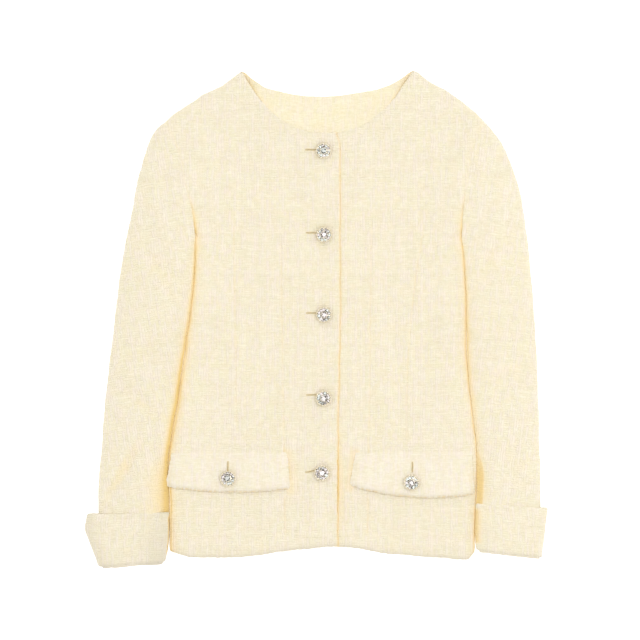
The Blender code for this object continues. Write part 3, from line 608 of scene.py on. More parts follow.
def quads(grid):
    """Corner numbers of each cell of a grid of point numbers."""
    return np.stack([grid[:-1, :-1], grid[:-1, 1:], grid[1:, 1:], grid[1:, :-1]], -1).reshape(-1, 4)


def border_index(rows, columns):
    """Row and column of each border point, once round the grid."""
    c, r = np.arange(columns), np.arange(rows)
    row = np.concatenate([np.zeros(columns, int), r[1:], np.full(columns - 1, rows - 1), r[-2:0:-1]])
    return row, np.concatenate([c, np.full(rows - 1, columns - 1), c[-2::-1], np.zeros(rows - 2, int)])


def inner_cells(grid, step):
    """Cells of every step-th row and column. The grid is turned four times, and each time the cells along its
    first row, and the cell in its first corner, are given all their border points."""
    cells = [quads(grid[::step, ::step][1:-1, 1:-1])]
    for turn in range(4):
        fine = np.rot90(grid, turn)
        coarse = fine[::step, ::step]
        runs = np.lib.stride_tricks.sliding_window_view(fine[0], step + 1)[::step]
        cells.append(np.column_stack([runs[1:-1], coarse[1, 2:-1], coarse[1, 1:-2]]))
        cells.append(np.concatenate([fine[0, :step + 1], coarse[1, 1:2], fine[step:0:-1, 0]])[None])
    return cells


def wall(outer, normals, thickness, relief, bulge, values):
    """Points, faces and values of a closed wall. The outer face moves by the relief along its normals, the inner
    face lies a thickness behind it, and the rim is half an ellipse that stands out by bulge."""
    rows, columns = outer.shape[:2]
    face = outer + normals * relief[..., None]
    inner = outer - normals * np.asarray(thickness)[..., None]
    row, col = border_index(rows, columns)
    edge, behind = face[row, col], inner[row, col]
    outward = unit(np.cross(np.roll(edge, -1, 0) - np.roll(edge, 1, 0), normals[row, col]))
    outward *= np.sign((outward * (edge - face[rows // 2, columns // 2])).sum(-1).mean())
    angles = np.linspace(0, np.pi, RIM_RINGS + 2)[1:-1]
    rims = [edge + (1 - np.cos(a)) / 2 * (behind - edge) + np.sin(a) * bulge * outward for a in angles]
    points = np.concatenate([face.reshape(-1, 3), inner.reshape(-1, 3), *rims])
    front = np.arange(rows * columns).reshape(rows, columns)
    back = front + rows * columns
    rings = [front[row, col]] + [2 * rows * columns + k * len(row) + np.arange(len(row)) for k in range(RIM_RINGS)]
    rings = np.stack(rings + [back[row, col]])
    rim = quads(np.concatenate([rings, rings[:, :1]], 1))
    faces = [quads(front), rim[:, ::-1]] + [cells[:, ::-1] for cells in inner_cells(back, INNER_STEP)]
    spread = {}
    for name, value in values.items():
        flat = value.reshape(rows * columns, -1)
        spread[name] = np.concatenate([flat, flat] + [value[row, col].reshape(len(row), -1)] * RIM_RINGS)
    return points, faces, spread


print("a wall of 9 by 9 points has", sum(len(f) for f in inner_cells(np.arange(81).reshape(9, 9), 4)), "inner faces")

# %% [markdown]
# ## From points to a piece
# The points go into a mesh as whole arrays. If the sum of the small tetrahedra under its faces is negative, the
# faces point inwards and all of them are turned. Each piece rides on the jacket's one body, takes its finish as a
# material, and hides the packed nodes it stands for. A value is a number at every point, such as its shade. A mesh
# could be built face by face with bmesh, but with a million corners that is far slower.

# %% Place and volume
WAVER = ((15.0, 0.42), (4.2, 0.26))  # length and amount of each waver of the outline, millimetres


def triangles(piece):
    """How many triangles a piece has: two fewer than the corners of each face."""
    return len(piece.data.loops) - 2 * len(piece.data.polygons)


def place_in_frame(points, side):
    """Garment millimetres to metres in the frame: mirrored to its side, nudged by bells and by a fine waver that
    makes no outline quite smooth, then shifted. All panels share the nudges, so their seams stay together."""
    points = np.asarray(points, float) * [SIGN[side], 1, 1]
    x, up = points[..., 0], points[..., 1]
    move = np.zeros_like(points)
    for nudge in NUDGES:
        share = bell(np.hypot(x - nudge.x, up - nudge.up), nudge.reach)
        move += share[..., None] * [nudge.by_x, nudge.by_up, 0.0]
    for number, (size, amount) in enumerate(WAVER):
        for axis in (0, 1):
            seed = RELIEF_SEED["outline"] + 2 * number + axis
            move[..., axis] += amount * random_heights(x / size, up / size, seed)
    return (points + move + SHIFT) * MM


def volume(points, faces):
    """Sum of the tetrahedra between the origin and each face's fan: positive if the faces point outwards."""
    total = 0.0
    for group in faces:
        corner = points[group]
        for k in range(1, group.shape[1] - 1):
            total += np.einsum("ij,ij->i", corner[:, 0], np.cross(corner[:, k], corner[:, k + 1])).sum()
    return total / 6


print("the underarm is at", place_in_frame([SIDE_LINE[-1].left, UNDERARM_UP, 0.0], "left").round(4), "m")

# %% Make a piece
def make_piece(name, points, faces, finish, stands_for=(), values=None, smooth=True):
    """A mesh object from points in metres and arrays of faces. Unused points go, and values become attributes."""
    used = np.unique(np.concatenate([group.ravel() for group in faces]))
    renumber = np.zeros(len(points), int)
    renumber[used] = np.arange(len(used))
    points, faces = points[used], [renumber[group] for group in faces]
    if volume(points, faces) < 0:
        faces = [group[:, ::-1] for group in faces]
    corners = np.concatenate([group.ravel() for group in faces])
    sizes = np.concatenate([np.full(len(group), group.shape[1]) for group in faces])
    mesh = bpy.data.meshes.new(name)
    mesh.vertices.add(len(points))
    mesh.vertices.foreach_set("co", points.astype(np.float32).ravel())
    mesh.loops.add(len(corners))
    mesh.loops.foreach_set("vertex_index", corners.astype(np.int32))
    mesh.polygons.add(len(sizes))
    mesh.polygons.foreach_set("loop_start", (np.cumsum(sizes) - sizes).astype(np.int32))
    mesh.polygons.foreach_set("use_smooth", np.full(len(sizes), smooth))
    mesh.update(calc_edges=True)
    for key, value in (values or {}).items():
        value = np.asarray(value, np.float32).reshape(len(renumber), -1)[used]
        kind, field = ("FLOAT_VECTOR", "vector") if value.shape[1] == 3 else ("FLOAT", "value")
        mesh.attributes.new(key, kind, "POINT").data.foreach_set(field, value.ravel())
    mesh.materials.append(finish)
    piece = bpy.data.objects.new(name, mesh)
    bpy.context.scene.collection.objects.link(piece)
    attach(piece, "root")
    if stands_for:
        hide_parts(*stands_for)
    print(piece.name, triangles(piece), "triangles")
    return piece


# %% [markdown]
# ## Building shader nodes
# A material is a graph. To keep it readable, one small class adds a node, sets its plain numbers and links its
# wires in one call, so that each line below says what is worked out, not which socket is which.

# %% A short way to write node graphs
class Graph:
    """Adds nodes to a tree. A wire given as an input is linked, and a plain number or colour is set."""

    def __init__(self, tree):
        """Keep the tree that the nodes go into."""
        self.tree = tree

    def node(self, kind, *inputs, **settings):
        """A node of a kind, its settings set and its first inputs filled in order."""
        node = self.tree.nodes.new(kind)
        for key, value in settings.items():
            setattr(node, key, value)
        for socket, value in zip(node.inputs, inputs):
            self.put(socket, value)
        return node

    def put(self, socket, value):
        """Link a wire to a socket, or set its plain value."""
        if isinstance(value, bpy.types.NodeSocket):
            self.tree.links.new(value, socket)
        elif value is not None:
            socket.default_value = value

    def math(self, operation, *values):
        """One number from others, by the named operation."""
        return self.node("ShaderNodeMath", *values, operation=operation).outputs[0]

    def times(self, first, second):
        """The product of two numbers."""
        return self.math("MULTIPLY", first, second)

    def plus(self, first, second):
        """The sum of two numbers."""
        return self.math("ADD", first, second)

    def less(self, first, second):
        """The first number less the second."""
        return self.math("SUBTRACT", first, second)

    def times_plus(self, value, factor, added):
        """A number times a factor, plus another."""
        return self.math("MULTIPLY_ADD", value, factor, added)

    def vector(self, operation, first, second):
        """One vector from two, by the named operation."""
        return self.node("ShaderNodeVectorMath", first, second, operation=operation).outputs[0]

    def join(self, x, y, z):
        """A vector from three numbers."""
        return self.node("ShaderNodeCombineXYZ", x, y, z).outputs[0]

    def noise(self, place, scale=1.0, detail=0.0, output="Fac"):
        """Smooth noise at a place, its scale in steps per unit."""
        node = self.node("ShaderNodeTexNoise")
        for name, value in (("Vector", place), ("Scale", scale), ("Detail", detail)):
            self.put(node.inputs[name], value)
        return node.outputs[output]

    def attribute(self, name, output="Fac"):
        """A value that the piece carries at each point."""
        return self.node("ShaderNodeAttribute", attribute_name=name).outputs[output]

    def bump(self, height, millimetres):
        """The normal of a surface whose height goes from 0 to this many millimetres."""
        node = self.node("ShaderNodeBump")
        self.put(node.inputs["Distance"], millimetres * MM)
        self.put(node.inputs["Height"], height)
        return node.outputs[0]

    def step(self, value, low, high):
        """0 below low, 1 above high, and an ease between them."""
        return self.node("ShaderNodeMapRange", value, low, high, 0.0, 1.0, interpolation_type="SMOOTHSTEP").outputs[0]

    def blend(self, share, first, second, kind="MIX"):
        """A share of the second colour in the first, mixed or multiplied."""
        node = self.node("ShaderNodeMix", data_type="RGBA", blend_type=kind)
        for index, value in ((0, share), (6, first), (7, second)):
            if isinstance(value, tuple) and len(value) == 3:
                value = (*value, 1.0)
            self.put(node.inputs[index], value)
        return node.outputs[2]


print("graphs are written with", [name for name in vars(Graph) if not name.startswith("_")])

# %% Start a node group
def new_group(name, takes, gives):
    """An empty shader node group with named inputs and outputs, and its graph, input and output nodes."""
    tree = bpy.data.node_groups.new(name, "ShaderNodeTree")
    for label, kind, value in takes:
        socket = tree.interface.new_socket(label, in_out="INPUT", socket_type=kind)
        if value is not None:
            socket.default_value = value
    for label, kind in gives:
        tree.interface.new_socket(label, in_out="OUTPUT", socket_type=kind)
    return Graph(tree), tree.nodes.new("NodeGroupInput").outputs, tree.nodes.new("NodeGroupOutput").inputs


FLOAT, COLOUR, VECTOR = "NodeSocketFloat", "NodeSocketColor", "NodeSocketVector"
print("kinds of socket in a group:", FLOAT, COLOUR, VECTOR)

# %% [markdown]
# ## Boucle tweed as a node group
# The real cloth is a loose basket of thick, uneven yarns. The group works in millimetres of cloth. It finds which
# warp yarn and which weft yarn a point is on, decides which one lies on top, and gives each yarn its own tone
# along its length: long pale streaks along the warp, short bright dashes along the weft, and cream between them.
# Thin bright and dull yarn ends lie over both, and the gaps between yarns get painted shade. The yarns' round tops
# make the height, which the material turns into bump. Two values of a piece come in as well: "hollow" is painted
# shade, from gold at a groove's rims to tan and then brown inside, and "edge" blends towards the grey of cut yarn
# ends and painted shade where an edge turns away. A tint paints a little more light on the flaps and warm bounced
# light inside the neck. A picture of cloth would repeat and blur up close, while this rule has detail at any
# distance, and three finishes share it.

# %% Colours of the cloth
CREAM, YELLOW = (0.864, 0.785, 0.598), (0.868, 0.792, 0.580)
STREAK, DASH = (0.874, 0.789, 0.658), (0.886, 0.812, 0.630)
GLINT, DULL = (0.935, 0.862, 0.695), (0.78, 0.70, 0.49)  # thin bright and dull ends of yarn
# The second colour here is painted shade in the gaps between yarns.
FLECK, SHADE_BETWEEN_YARNS = (0.700, 0.650, 0.600), (0.80, 0.70, 0.48)
GOLD_RIM, TAN, BROWN = (0.99, 0.72, 0.30), (0.838, 0.597, 0.225), (0.44, 0.30, 0.12)  # painted shade, from gold at a groove's rim to tan and brown deep inside
RAW_ENDS_AND_EDGE_SHADE = (0.62, 0.56, 0.45)  # grey of cut yarn ends along an edge, and painted shade where an edge turns away
GREENISH, ROSY = (0.993, 1.004, 1.0), (1.007, 0.996, 1.0)  # the dye drifts a little between these
PLAIN, PAINTED_NECK_BOUNCE_LIGHT, PAINTED_FLAP_LIGHT = (1.0, 1.0, 1.0), (1.02, 1.015, 0.96), (1.0, 1.006, 1.04)  # no tint; painted warm light bounced inside the neck; painted light on the raised flaps
print("the cloth runs from", CREAM, "to", DASH)

# %% The weave
WARP_PITCH, WEFT_PITCH = 2.9, 2.6  # millimetres from yarn to yarn
YARN_WANDER = (2.2, 1.4, 0.0)  # how far yarns wander off straight
WARP_BOOST, WEFT_BOOST = 0.05, 0.13  # every other yarn is this much brighter
PER_MM = {"wander": 0.12, "floats": 0.13, "hairs": 1.4, "patches": 0.021, "flecks": 0.55, "dye": 0.07}  # noise steps
Weave = namedtuple("Weave", "x y warp_tone weft_tone warp_on_top height")


def over_cloth(g, cloth, name, detail=1.0, output="Fac"):
    """One of the named noises over the cloth."""
    return g.noise(cloth, PER_MM[name], detail, output)


def yarn_number(g, value, pitch):
    """Which yarn a place is on: the whole part of its distance in pitches."""
    return g.math("FLOOR", g.math("DIVIDE", value, pitch))


def boosted(g, tone, yarn, boost):
    """A tone, brighter by the boost on every other yarn."""
    return g.times_plus(g.math("FLOORED_MODULO", yarn, 2.0), boost, tone)


def crown(g, value, pitch):
    """1 on the middle of a yarn, 0 at its edge: 1 minus the square of the distance from the middle."""
    off = g.times(g.less(g.math("FRACT", g.math("DIVIDE", value, pitch)), 0.5), 2.0)
    return g.less(1.0, g.times(off, off))


def weave(g, cloth):
    """The tones of the warp and weft yarn at a place, which of the two is on top, and the height of its crown."""
    drift = g.vector("SUBTRACT", over_cloth(g, cloth, "wander", output="Color"), (0.5, 0.5, 0.5))
    place = g.vector("ADD", cloth, g.vector("MULTIPLY", drift, YARN_WANDER))
    x, y = g.node("ShaderNodeSeparateXYZ", place).outputs[:2]
    warp, weft = yarn_number(g, x, WARP_PITCH), yarn_number(g, y, WEFT_PITCH)
    warp_tone = boosted(g, g.noise(g.join(g.times(warp, 7.31), g.times(y, 0.045), 1.0)), warp, WARP_BOOST)
    weft_tone = boosted(g, g.noise(g.join(g.times(x, 0.105), g.times(weft, 5.17), 9.0)), weft, WEFT_BOOST)
    floats = over_cloth(g, cloth, "floats")
    checker = g.math("FLOORED_MODULO", g.plus(warp, weft), 2.0)
    stronger = g.plus(g.less(warp_tone, g.times(floats, 1.3)), g.times_plus(checker, 0.14, 0.09))
    warp_on_top = g.step(stronger, -0.015, 0.015)
    across_warp, across_weft = crown(g, x, WARP_PITCH), crown(g, y, WEFT_PITCH)
    long_warp = g.times(across_warp, g.times_plus(across_weft, 0.35, 0.65))
    long_weft = g.times(across_weft, g.times_plus(across_warp, 0.35, 0.65))
    top = g.node("ShaderNodeMix", warp_on_top, data_type="FLOAT")
    g.put(top.inputs[2], g.times(long_weft, g.plus(weft_tone, 0.45)))
    g.put(top.inputs[3], g.times(long_warp, g.plus(warp_tone, 0.45)))
    return Weave(x, y, warp_tone, weft_tone, warp_on_top, top.outputs[0])


print("a warp yarn every", WARP_PITCH, "mm and a weft yarn every", WEFT_PITCH, "mm")

# %% Colour of the yarns
YARN_ENDS = table(  # fine yarns along the weft and the warp: pitch, change along them, jump to the next, and amount
    "level pitch along jump layer amount",
    (True, 1.2, 0.12, 3.77, 4.0, 1.12), (False, 1.4, 0.10, 4.31, 14.0, 0.66))


def yarn_colour(g, cloth, woven):
    """Blends laid over each other: patches, streaks on the warp, dashes on the weft, yarn ends, broad bands,
    flecks, and painted shade in the gaps between yarns."""
    x, y = woven.x, woven.y
    colour = g.blend(g.step(over_cloth(g, cloth, "patches"), 0.40, 0.62), CREAM, YELLOW)
    streaked = g.times(g.step(woven.warp_tone, 0.49, 0.61), g.times_plus(woven.warp_on_top, 0.7, 0.3))
    colour = g.blend(streaked, colour, STREAK)
    dashed = g.times(g.step(woven.weft_tone, 0.49, 0.67), g.less(1.0, woven.warp_on_top))
    colour = g.blend(dashed, colour, DASH)
    for ends in YARN_ENDS:
        drawn_out, stepped = (x, y) if ends.level else (y, x)
        drawn_out, stepped = g.times(drawn_out, ends.along), g.times(yarn_number(g, stepped, ends.pitch), ends.jump)
        tone = g.noise(g.join(*((drawn_out, stepped) if ends.level else (stepped, drawn_out)), ends.layer))
        colour = g.blend(g.times(g.step(tone, 0.60, 0.65), 0.50 * ends.amount), colour, GLINT)
        colour = g.blend(g.times(g.step(tone, 0.38, 0.33), 0.26 * ends.amount), colour, DULL)
    bands_up = g.noise(g.join(g.times(x, 0.17), g.times(y, 0.010), 21.0))
    bands_across = g.noise(g.join(g.times(x, 0.010), g.times(y, 0.19), 33.0))
    banded = g.plus(bands_up, bands_across)
    colour = g.blend(g.times(g.step(banded, 0.97, 0.70), 0.10), colour, DULL)
    colour = g.blend(g.times(g.step(banded, 1.03, 1.30), 0.20), colour, GLINT)
    colour = g.blend(g.times(g.step(over_cloth(g, cloth, "flecks"), 0.71, 0.76), 0.5), colour, FLECK)
    between = g.times(g.step(woven.height, 0.40, 0.03), g.times_plus(dashed, 0.24, 0.14))
    return g.blend(between, colour, SHADE_BETWEEN_YARNS)


print("fine yarn ends lie", [ends.pitch for ends in YARN_ENDS], "mm apart")

# %% The tweed group
def tweed_group():
    """Colour, height and roughness of the cloth at a place: the weave's own, then the dye, the tint of painted light,
    the edge's yarn ends and painted shade, and the hollow's painted shade laid over its colour, and fine hairs added
    to its height."""
    takes = [("Place", VECTOR, None), ("Hollow", FLOAT, 0.0), ("Edge", FLOAT, 0.0), ("Tint", COLOUR, None)]
    g, given, result = new_group("boucle tweed", takes, [("Colour", COLOUR), ("Height", FLOAT), ("Roughness", FLOAT)])
    cloth = given["Place"]
    woven = weave(g, cloth)
    hairs = over_cloth(g, cloth, "hairs", detail=2.0)
    colour = yarn_colour(g, cloth, woven)
    rosy = g.step(over_cloth(g, cloth, "dye"), 0.38, 0.62)
    for tint in (g.blend(rosy, GREENISH, ROSY), given["Tint"]):
        colour = g.blend(1.0, colour, tint, "MULTIPLY")
    colour = g.blend(given["Edge"], colour, RAW_ENDS_AND_EDGE_SHADE)
    shaded = g.blend(g.step(given["Hollow"], 0.25, 0.95), GOLD_RIM, TAN)
    colour = g.blend(g.node("ShaderNodeClamp", given["Hollow"]).outputs[0], colour, shaded)
    g.put(result["Colour"], g.blend(g.step(given["Hollow"], 1.0, 2.0), colour, BROWN))
    g.put(result["Height"], g.times_plus(hairs, 0.25, woven.height))
    g.put(result["Roughness"], g.times_plus(hairs, -0.12, 0.95))
    return g.tree


TWEED_GROUP = tweed_group()
print("the tweed group has", len(TWEED_GROUP.nodes), "nodes")

# %% [markdown]
# ## Cloth materials
# Tweed is matt and slightly hairy, so its Principled shader has high roughness and some sheen, set on the shader
# itself. The same group dresses the flaps, a little paler with painted light, and the facing inside the neck, a
# little yellower and brighter with painted warm light bounced inside it.
# Particle hair could give the fuzz, but sheen gives the same softness at this distance for nothing.

# %% Make the cloth materials
def new_material(name, **settings):
    """A material with one Principled shader, whose named sockets are set to plain values."""
    material = bpy.data.materials.new(name)
    material.use_nodes = True
    shader = material.node_tree.nodes["Principled BSDF"]
    for key, value in settings.items():
        shader.inputs[key.replace("_", " ")].default_value = value
    return material, Graph(material.node_tree), shader.inputs


def tweed_material(name, tint, bump_mm):
    """The tweed group, fed with the cloth's own place, hollows and edges, into colour, roughness and bump."""
    material, g, shader = new_material(name, Sheen_Weight=0.30, Sheen_Roughness=0.45, Specular_IOR_Level=0.2,
                                       Sheen_Tint=(1.0, 0.97, 0.90, 1.0))
    cloth = g.node("ShaderNodeGroup")
    cloth.node_tree = TWEED_GROUP
    g.put(cloth.inputs["Place"], g.attribute("weave_place", "Vector"))
    g.put(cloth.inputs["Hollow"], g.attribute("hollow"))
    g.put(cloth.inputs["Edge"], g.attribute("edge"))
    g.put(cloth.inputs["Tint"], (*tint, 1.0))
    g.put(shader["Base Color"], cloth.outputs["Colour"])
    g.put(shader["Roughness"], cloth.outputs["Roughness"])
    g.put(shader["Normal"], g.bump(cloth.outputs["Height"], bump_mm))
    return material


TWEED_FINISH = tweed_material("tweed", PLAIN, bump_mm=0.40)
FLAP_FINISH = tweed_material("flap tweed", PAINTED_FLAP_LIGHT, bump_mm=0.25)
FACING_FINISH = tweed_material("facing tweed", PAINTED_NECK_BOUNCE_LIGHT, bump_mm=0.25)
print("cloth materials:", [finish.name for finish in (TWEED_FINISH, FLAP_FINISH, FACING_FINISH)])

# %% Make a panel
def panel(name, nodes, side, face, normals, relief, values, cloth=TWEED, rim=0.0, finish=TWEED_FINISH):
    """A wall of cloth as a piece in the frame. Nothing of it goes below the surface that it lies on."""
    points, faces, values = wall(face, normals, cloth, relief, rim, values)
    points[:, 2] = points[:, 2].clip(0, None)
    return make_piece(name, place_in_frame(points, side), faces, finish, nodes, values)


def frayed(shape, rim, seed, *ends):
    """How far the rim stands out at each border point: its own bulge, and yarn ends uneven over a few points."""
    steps = np.arange(2 * (shape[0] + shape[1]) - 4)
    uneven = sum(amount * random_heights(steps / reach, 0 * steps, seed + number)
                 for number, (amount, reach) in enumerate(ends))
    return (rim + uneven)[:, None]


print("a rim of 5 by 5 points stands out by", frayed((5, 5), 0.6, 17, (0.26, 2.1)).round(1).ravel()[:6], "mm")

# %% [markdown]
# ## Buttonholes and grooves
# Around a buttonhole the stitching presses the boucle flat. In the grooves between sleeves and body the cloth
# shades itself, which light alone doesn't give on so pale a cloth, so each piece carries that shade as a value.
# It is a sum of bands: bells of the distance from a seam, each with its own amount and width.

# %% Places of the buttonholes
SLITS = table(
    "name side out up length turn",
    ("buttonhole_front_1", "right", 18.6, 468.6, 13.5, 0.0), ("buttonhole_front_2", "right", 18.4, 373.0, 13.5, 1.0),
    ("buttonhole_front_3", "right", 18.4, 280.6, 13.5, -1.0), ("buttonhole_front_4", "right", 18.2, 186.4, 13.0, 0.5),
    ("buttonhole_front_5", "right", 18.8, 98.6, 13.5, -12.0),
    ("buttonhole_flap_right", "right", 113.8, 104.0, 13.0, 90.0),
    ("buttonhole_flap_left", "left", 98.0, 103.6, 13.0, 90.0))
STITCH_SINK = 0.15  # how far the stitching sinks into the cloth


def flattened(relief, part, side, out, up):
    """Relief pressed flat on the stitching of a part's buttonholes: bells across each and beyond its ends."""
    flat = np.zeros_like(out)
    for slit in SLITS:
        if slit.name.startswith(f"buttonhole_{part}") and slit.side == side:
            along, across = turned(out - slit.out, up - slit.up, -np.radians(slit.turn))
            beyond = np.clip(np.abs(along) - slit.length / 2, 0, None)
            flat = np.maximum(flat, bell(across, 2.4) * bell(beyond, 1.6))
    return relief * (1 - flat) - STITCH_SINK * flat


print("buttonholes:", len(SLITS))

# %% Shade in the grooves
GrooveShade = namedtuple("GrooveShade", "at_underarm at_cuff deepest_up deepest rim cuff_line")
GROOVE_SHADE = {
    "right": GrooveShade(0.56, 0.95, 212, 0.20, 0.14, 1.7),
    "left": GrooveShade(0.40, 0.26, 248, 0.18, 0.05, 0.9),
}


def groove_shade(side, up):
    """How far the groove between sleeve and body shades itself at a height: from its table's value at the
    underarm to the one at the cuff, more where it is deepest, and fading out above the underarm."""
    row = GROOVE_SHADE[side]
    shade = row.at_underarm + (row.at_cuff - row.at_underarm) * ease((300 - up) / 190)
    shade = shade + row.deepest * bell(up - row.deepest_up, 32) + 0.22 * bell(up - 385, 26)
    return shade * ease((UNDERARM_UP + 52 - up) / 60)


print("groove shade half way up:", {side: round(float(groove_shade(side, 200.0)), 2) for side in SIGN})

# %% [markdown]
# ## The fronts
# The two fronts close over each other at the centre. Their free edges are turned and soft, their side and armhole
# edges are pulled into seams, and two sewn lines shape each of them. One sheet with a line down its middle would
# be simpler, but two panels that really lap give a true edge and its shadow.

# %% Relief of a front
Gaps = namedtuple("Gaps", "side armhole seam edge")
SEAM_FLAT = 1.6  # the boucle lies flat within about this distance of a seam
EDGE_DROP, EDGE_SOFTNESS = 0.8, 1.6  # a free edge rounds off by this much, over this distance
NECK_EDGE_UP = 400.0  # above this a front's free edge is its neck


def front_gaps(out, up):
    """Distance in plan from the side seam, the armhole, the nearest seam, and the nearest free edge."""
    across, below = out[:, -1:] - out, up[-1:] - up
    side = np.where(up < UNDERARM_UP, across, FAR)
    armhole = np.where(up >= UNDERARM_UP, across, np.hypot(across, UNDERARM_UP - up))
    seam = np.minimum(np.minimum(side, armhole), np.where(out > NECK_HALF, below, FAR))
    edge = np.minimum(np.minimum(up - up[:1], out - out[:, :1]), np.where(out <= NECK_HALF, below, FAR))
    return Gaps(side, armhole, seam, edge)


def front_relief(side, place, out, up, gaps):
    """Boucle less the creases, the sewn lines, a groove with a swell beside it at the armhole, and the rounding
    of the free edges. The stitching of the buttonholes presses it flat."""
    relief = boucle_relief(place, RELIEF_SEED["front"][side]) * (1 - bell(gaps.seam, SEAM_FLAT))
    relief -= crease_depth(BODY_CREASES[side], out, up) + sewn_depth(SEWN_LINES[side], out, up)
    relief -= 0.12 * bell(gaps.armhole, 2.4) - 0.30 * bell(gaps.armhole - 7.0, 4.0)
    relief -= EDGE_DROP * bell(gaps.edge, EDGE_SOFTNESS)
    return flattened(relief, "front", side, out, up)


print("a front's free edge drops by", EDGE_DROP, "mm over", EDGE_SOFTNESS, "mm")

# %% Shade of a front
def flap_side_shade(side, out, up):
    """Shade beside a flap's inner end: a bell of the distance from it, fading above and below the flap."""
    corners = FLAPS[side]
    share = ((corners.top_in[1] - up) / (corners.top_in[1] - corners.bottom_in[1])).clip(0, 1)
    from_flap = corners.top_in[0] + share * (corners.bottom_in[0] - corners.top_in[0]) - out
    beyond = np.maximum(up - corners.top_in[1], corners.bottom_in[1] - 3 - up).clip(0, None)
    return 0.28 * bell(from_flap.clip(0, None), 8.0) * bell(beyond, 5.0) * (from_flap > -4)


def opening_shade(side, out, up):
    """Shade where the fronts meet: a thin line on the right front's edge, and bands on the left front beside it,
    which are deeper and wider low down and fade out at the neck."""
    if side == "right":
        return 0.34 * bell(out - out[:, :1], 0.9)
    beyond = out + front_edge("right")(up) - 0.6
    beyond = np.where(beyond < 0, beyond / 4, beyond)
    low_down, lowest_button = ease((300 - up) / 80), bell(up - 88, 40)
    line = 0.42 + 0.17 * low_down + 0.28 * lowest_button - 0.24 * ease((up - 462) / 16)
    return bands(beyond, (line, 1.3), (0.42 * bell(up - 85, 40), 7.0))


def front_hollow(side, out, up, gaps):
    """The groove's bands beside the sleeve, with some shade in sewn lines and beside the flap. The opening, the
    line beside the cuff and a faint one along the neck are laid over these, the deepest counting."""
    groove, beside, row = groove_shade(side, up), beside_cuff(side, up), GROOVE_SHADE[side]
    from_seam = np.minimum(gaps.side, gaps.armhole)
    rim = row.rim * ease((UNDERARM_UP + 45 - up) / 50)
    hollow = bands(from_seam, (0.08 + 0.7 * groove, 2.2), (0.36 * groove, 8.0), (rim, 4.5))
    hollow = hollow + 0.45 * beside * bell(from_seam, 3.4) if side == "right" else hollow * (1 - 0.7 * beside)
    hollow = hollow + 0.22 * sewn_depth(SEWN_LINES[side], out, up).clip(0, 1) + flap_side_shade(side, out, up)
    at_cuff = ease((up - 6) / 10) * ease((CUFFS[side][0].inner_up + 2 - up) / 6)
    at_neck = np.where((out <= NECK_HALF) & (up > NECK_EDGE_UP), up[-1:] - up, FAR)
    for shade in (opening_shade(side, out, up), row.cuff_line * at_cuff * bell(gaps.side, 1.5),
                  0.06 * bell(at_neck, 1.3) * ease((out - 55) / 25)):
        hollow = np.maximum(hollow, shade)
    return hollow


print("shade beside the opening, 200 mm up:", opening_shade("left", np.array([-12.0, -10.0]), 200.0).round(2))

# %% Build the fronts
def build_front(side):
    """A front's wall. Returns its armhole column, which the sleeve starts from."""
    face, full = half_face(side, "upper", front_edge(side), FRONT_NECK, FRONT_GRID)
    normals, place = seam_normals(face, full, "upper", FRONT_GRID), cloth_place(face)
    out, up = face[..., 0], face[..., 1]
    gaps, armhole = front_gaps(out, up), face[FRONT_GRID.side:, -1].copy()
    face[..., 2] += lap(side, out)
    on_edge = np.where(out > out[:, :1] + 3, gaps.edge, FAR)
    # The edge value is painted shade where the hem turns under.
    edge = np.where(up > NECK_EDGE_UP, 0.0, 0.12) * bell(on_edge, 1.3) + bands(up - up[:1], (0.26, 2.4), (0.12, 7.0))
    rim = frayed(face.shape, 0.6, 17 if side == "right" else 29, (0.26, 2.1), (0.22, 6.3))
    piece = panel(f"front_{side}_cloth", [f"front_{side}"], side, face, normals,
                  front_relief(side, place, out, up, gaps),
                  {"weave_place": place, "hollow": front_hollow(side, out, up, gaps), "edge": edge}, rim=rim)
    return piece, armhole


FRONTS, FRONT_ARMHOLES = {}, {}
for side in SIGN:
    FRONTS[side], FRONT_ARMHOLES[side] = build_front(side)

# %% [markdown]
# ## The back and its facing
# The back is one panel, and lies flat on the surface. The facing is a shaped strip of the same tweed along the
# inside of its neck, where its ribs run up and down. It is worked out from the back's own grid, moved inwards, and
# it springs up a little under the fronts' neck edge. The facing could be a mere patch of colour, but a strip of
# its own has an edge and ribs that catch the light.

# %% Build the back
def whole_back(fine):
    """Face and normals over the whole back, the right half mirrored and joined to the left, and both halves."""
    halves = {}
    for side in SIGN:
        face, full = half_face(side, "under", np.zeros_like, BACK_NECK, fine)
        halves[side] = np.stack([face, seam_normals(face, full, "under", fine)])
    mirrored = halves["right"][:, :, :0:-1] * [-1.0, 1.0, 1.0]
    return *np.concatenate([mirrored, halves["left"]], axis=2), halves


def build_back():
    """The back's wall. Returns both armhole columns."""
    face, normals, halves = whole_back(BACK_GRID)
    place, out, up = cloth_place(face), face[..., 0], face[..., 1]
    from_seam = np.minimum(np.minimum(out - out[:, :1], out[:, -1:] - out), up[-1:] - up)
    relief = boucle_relief(place, RELIEF_SEED["back"]) * (1 - bell(from_seam, 2.5))
    relief -= sewn_depth(SEWN_LINES["back"], out, up) + 0.8 * bell(from_seam - 3.0, 2.5)
    # The hollow value is painted shade along the back's edges.
    piece = panel("back_cloth", ["back"], "left", face, normals, relief,
                  {"weave_place": place, "hollow": 0.6 * bell(from_seam, 2.6)}, rim=0.6)
    return piece, {side: halves[side][0][BACK_GRID.side:, -1] for side in SIGN}


BACK, BACK_ARMHOLES = build_back()

# %% Build the neck facing
FACING_COLUMNS, FACING_FIRST = 116, 72  # columns each side of the centre, and first armhole row
FACING_RISE, FACING_HUMP = 2.2, 2.0  # how far it springs up under the fronts' neck edge, and just above it
RIB_WIDTH, RIB_HEIGHT = 4.6, 0.10


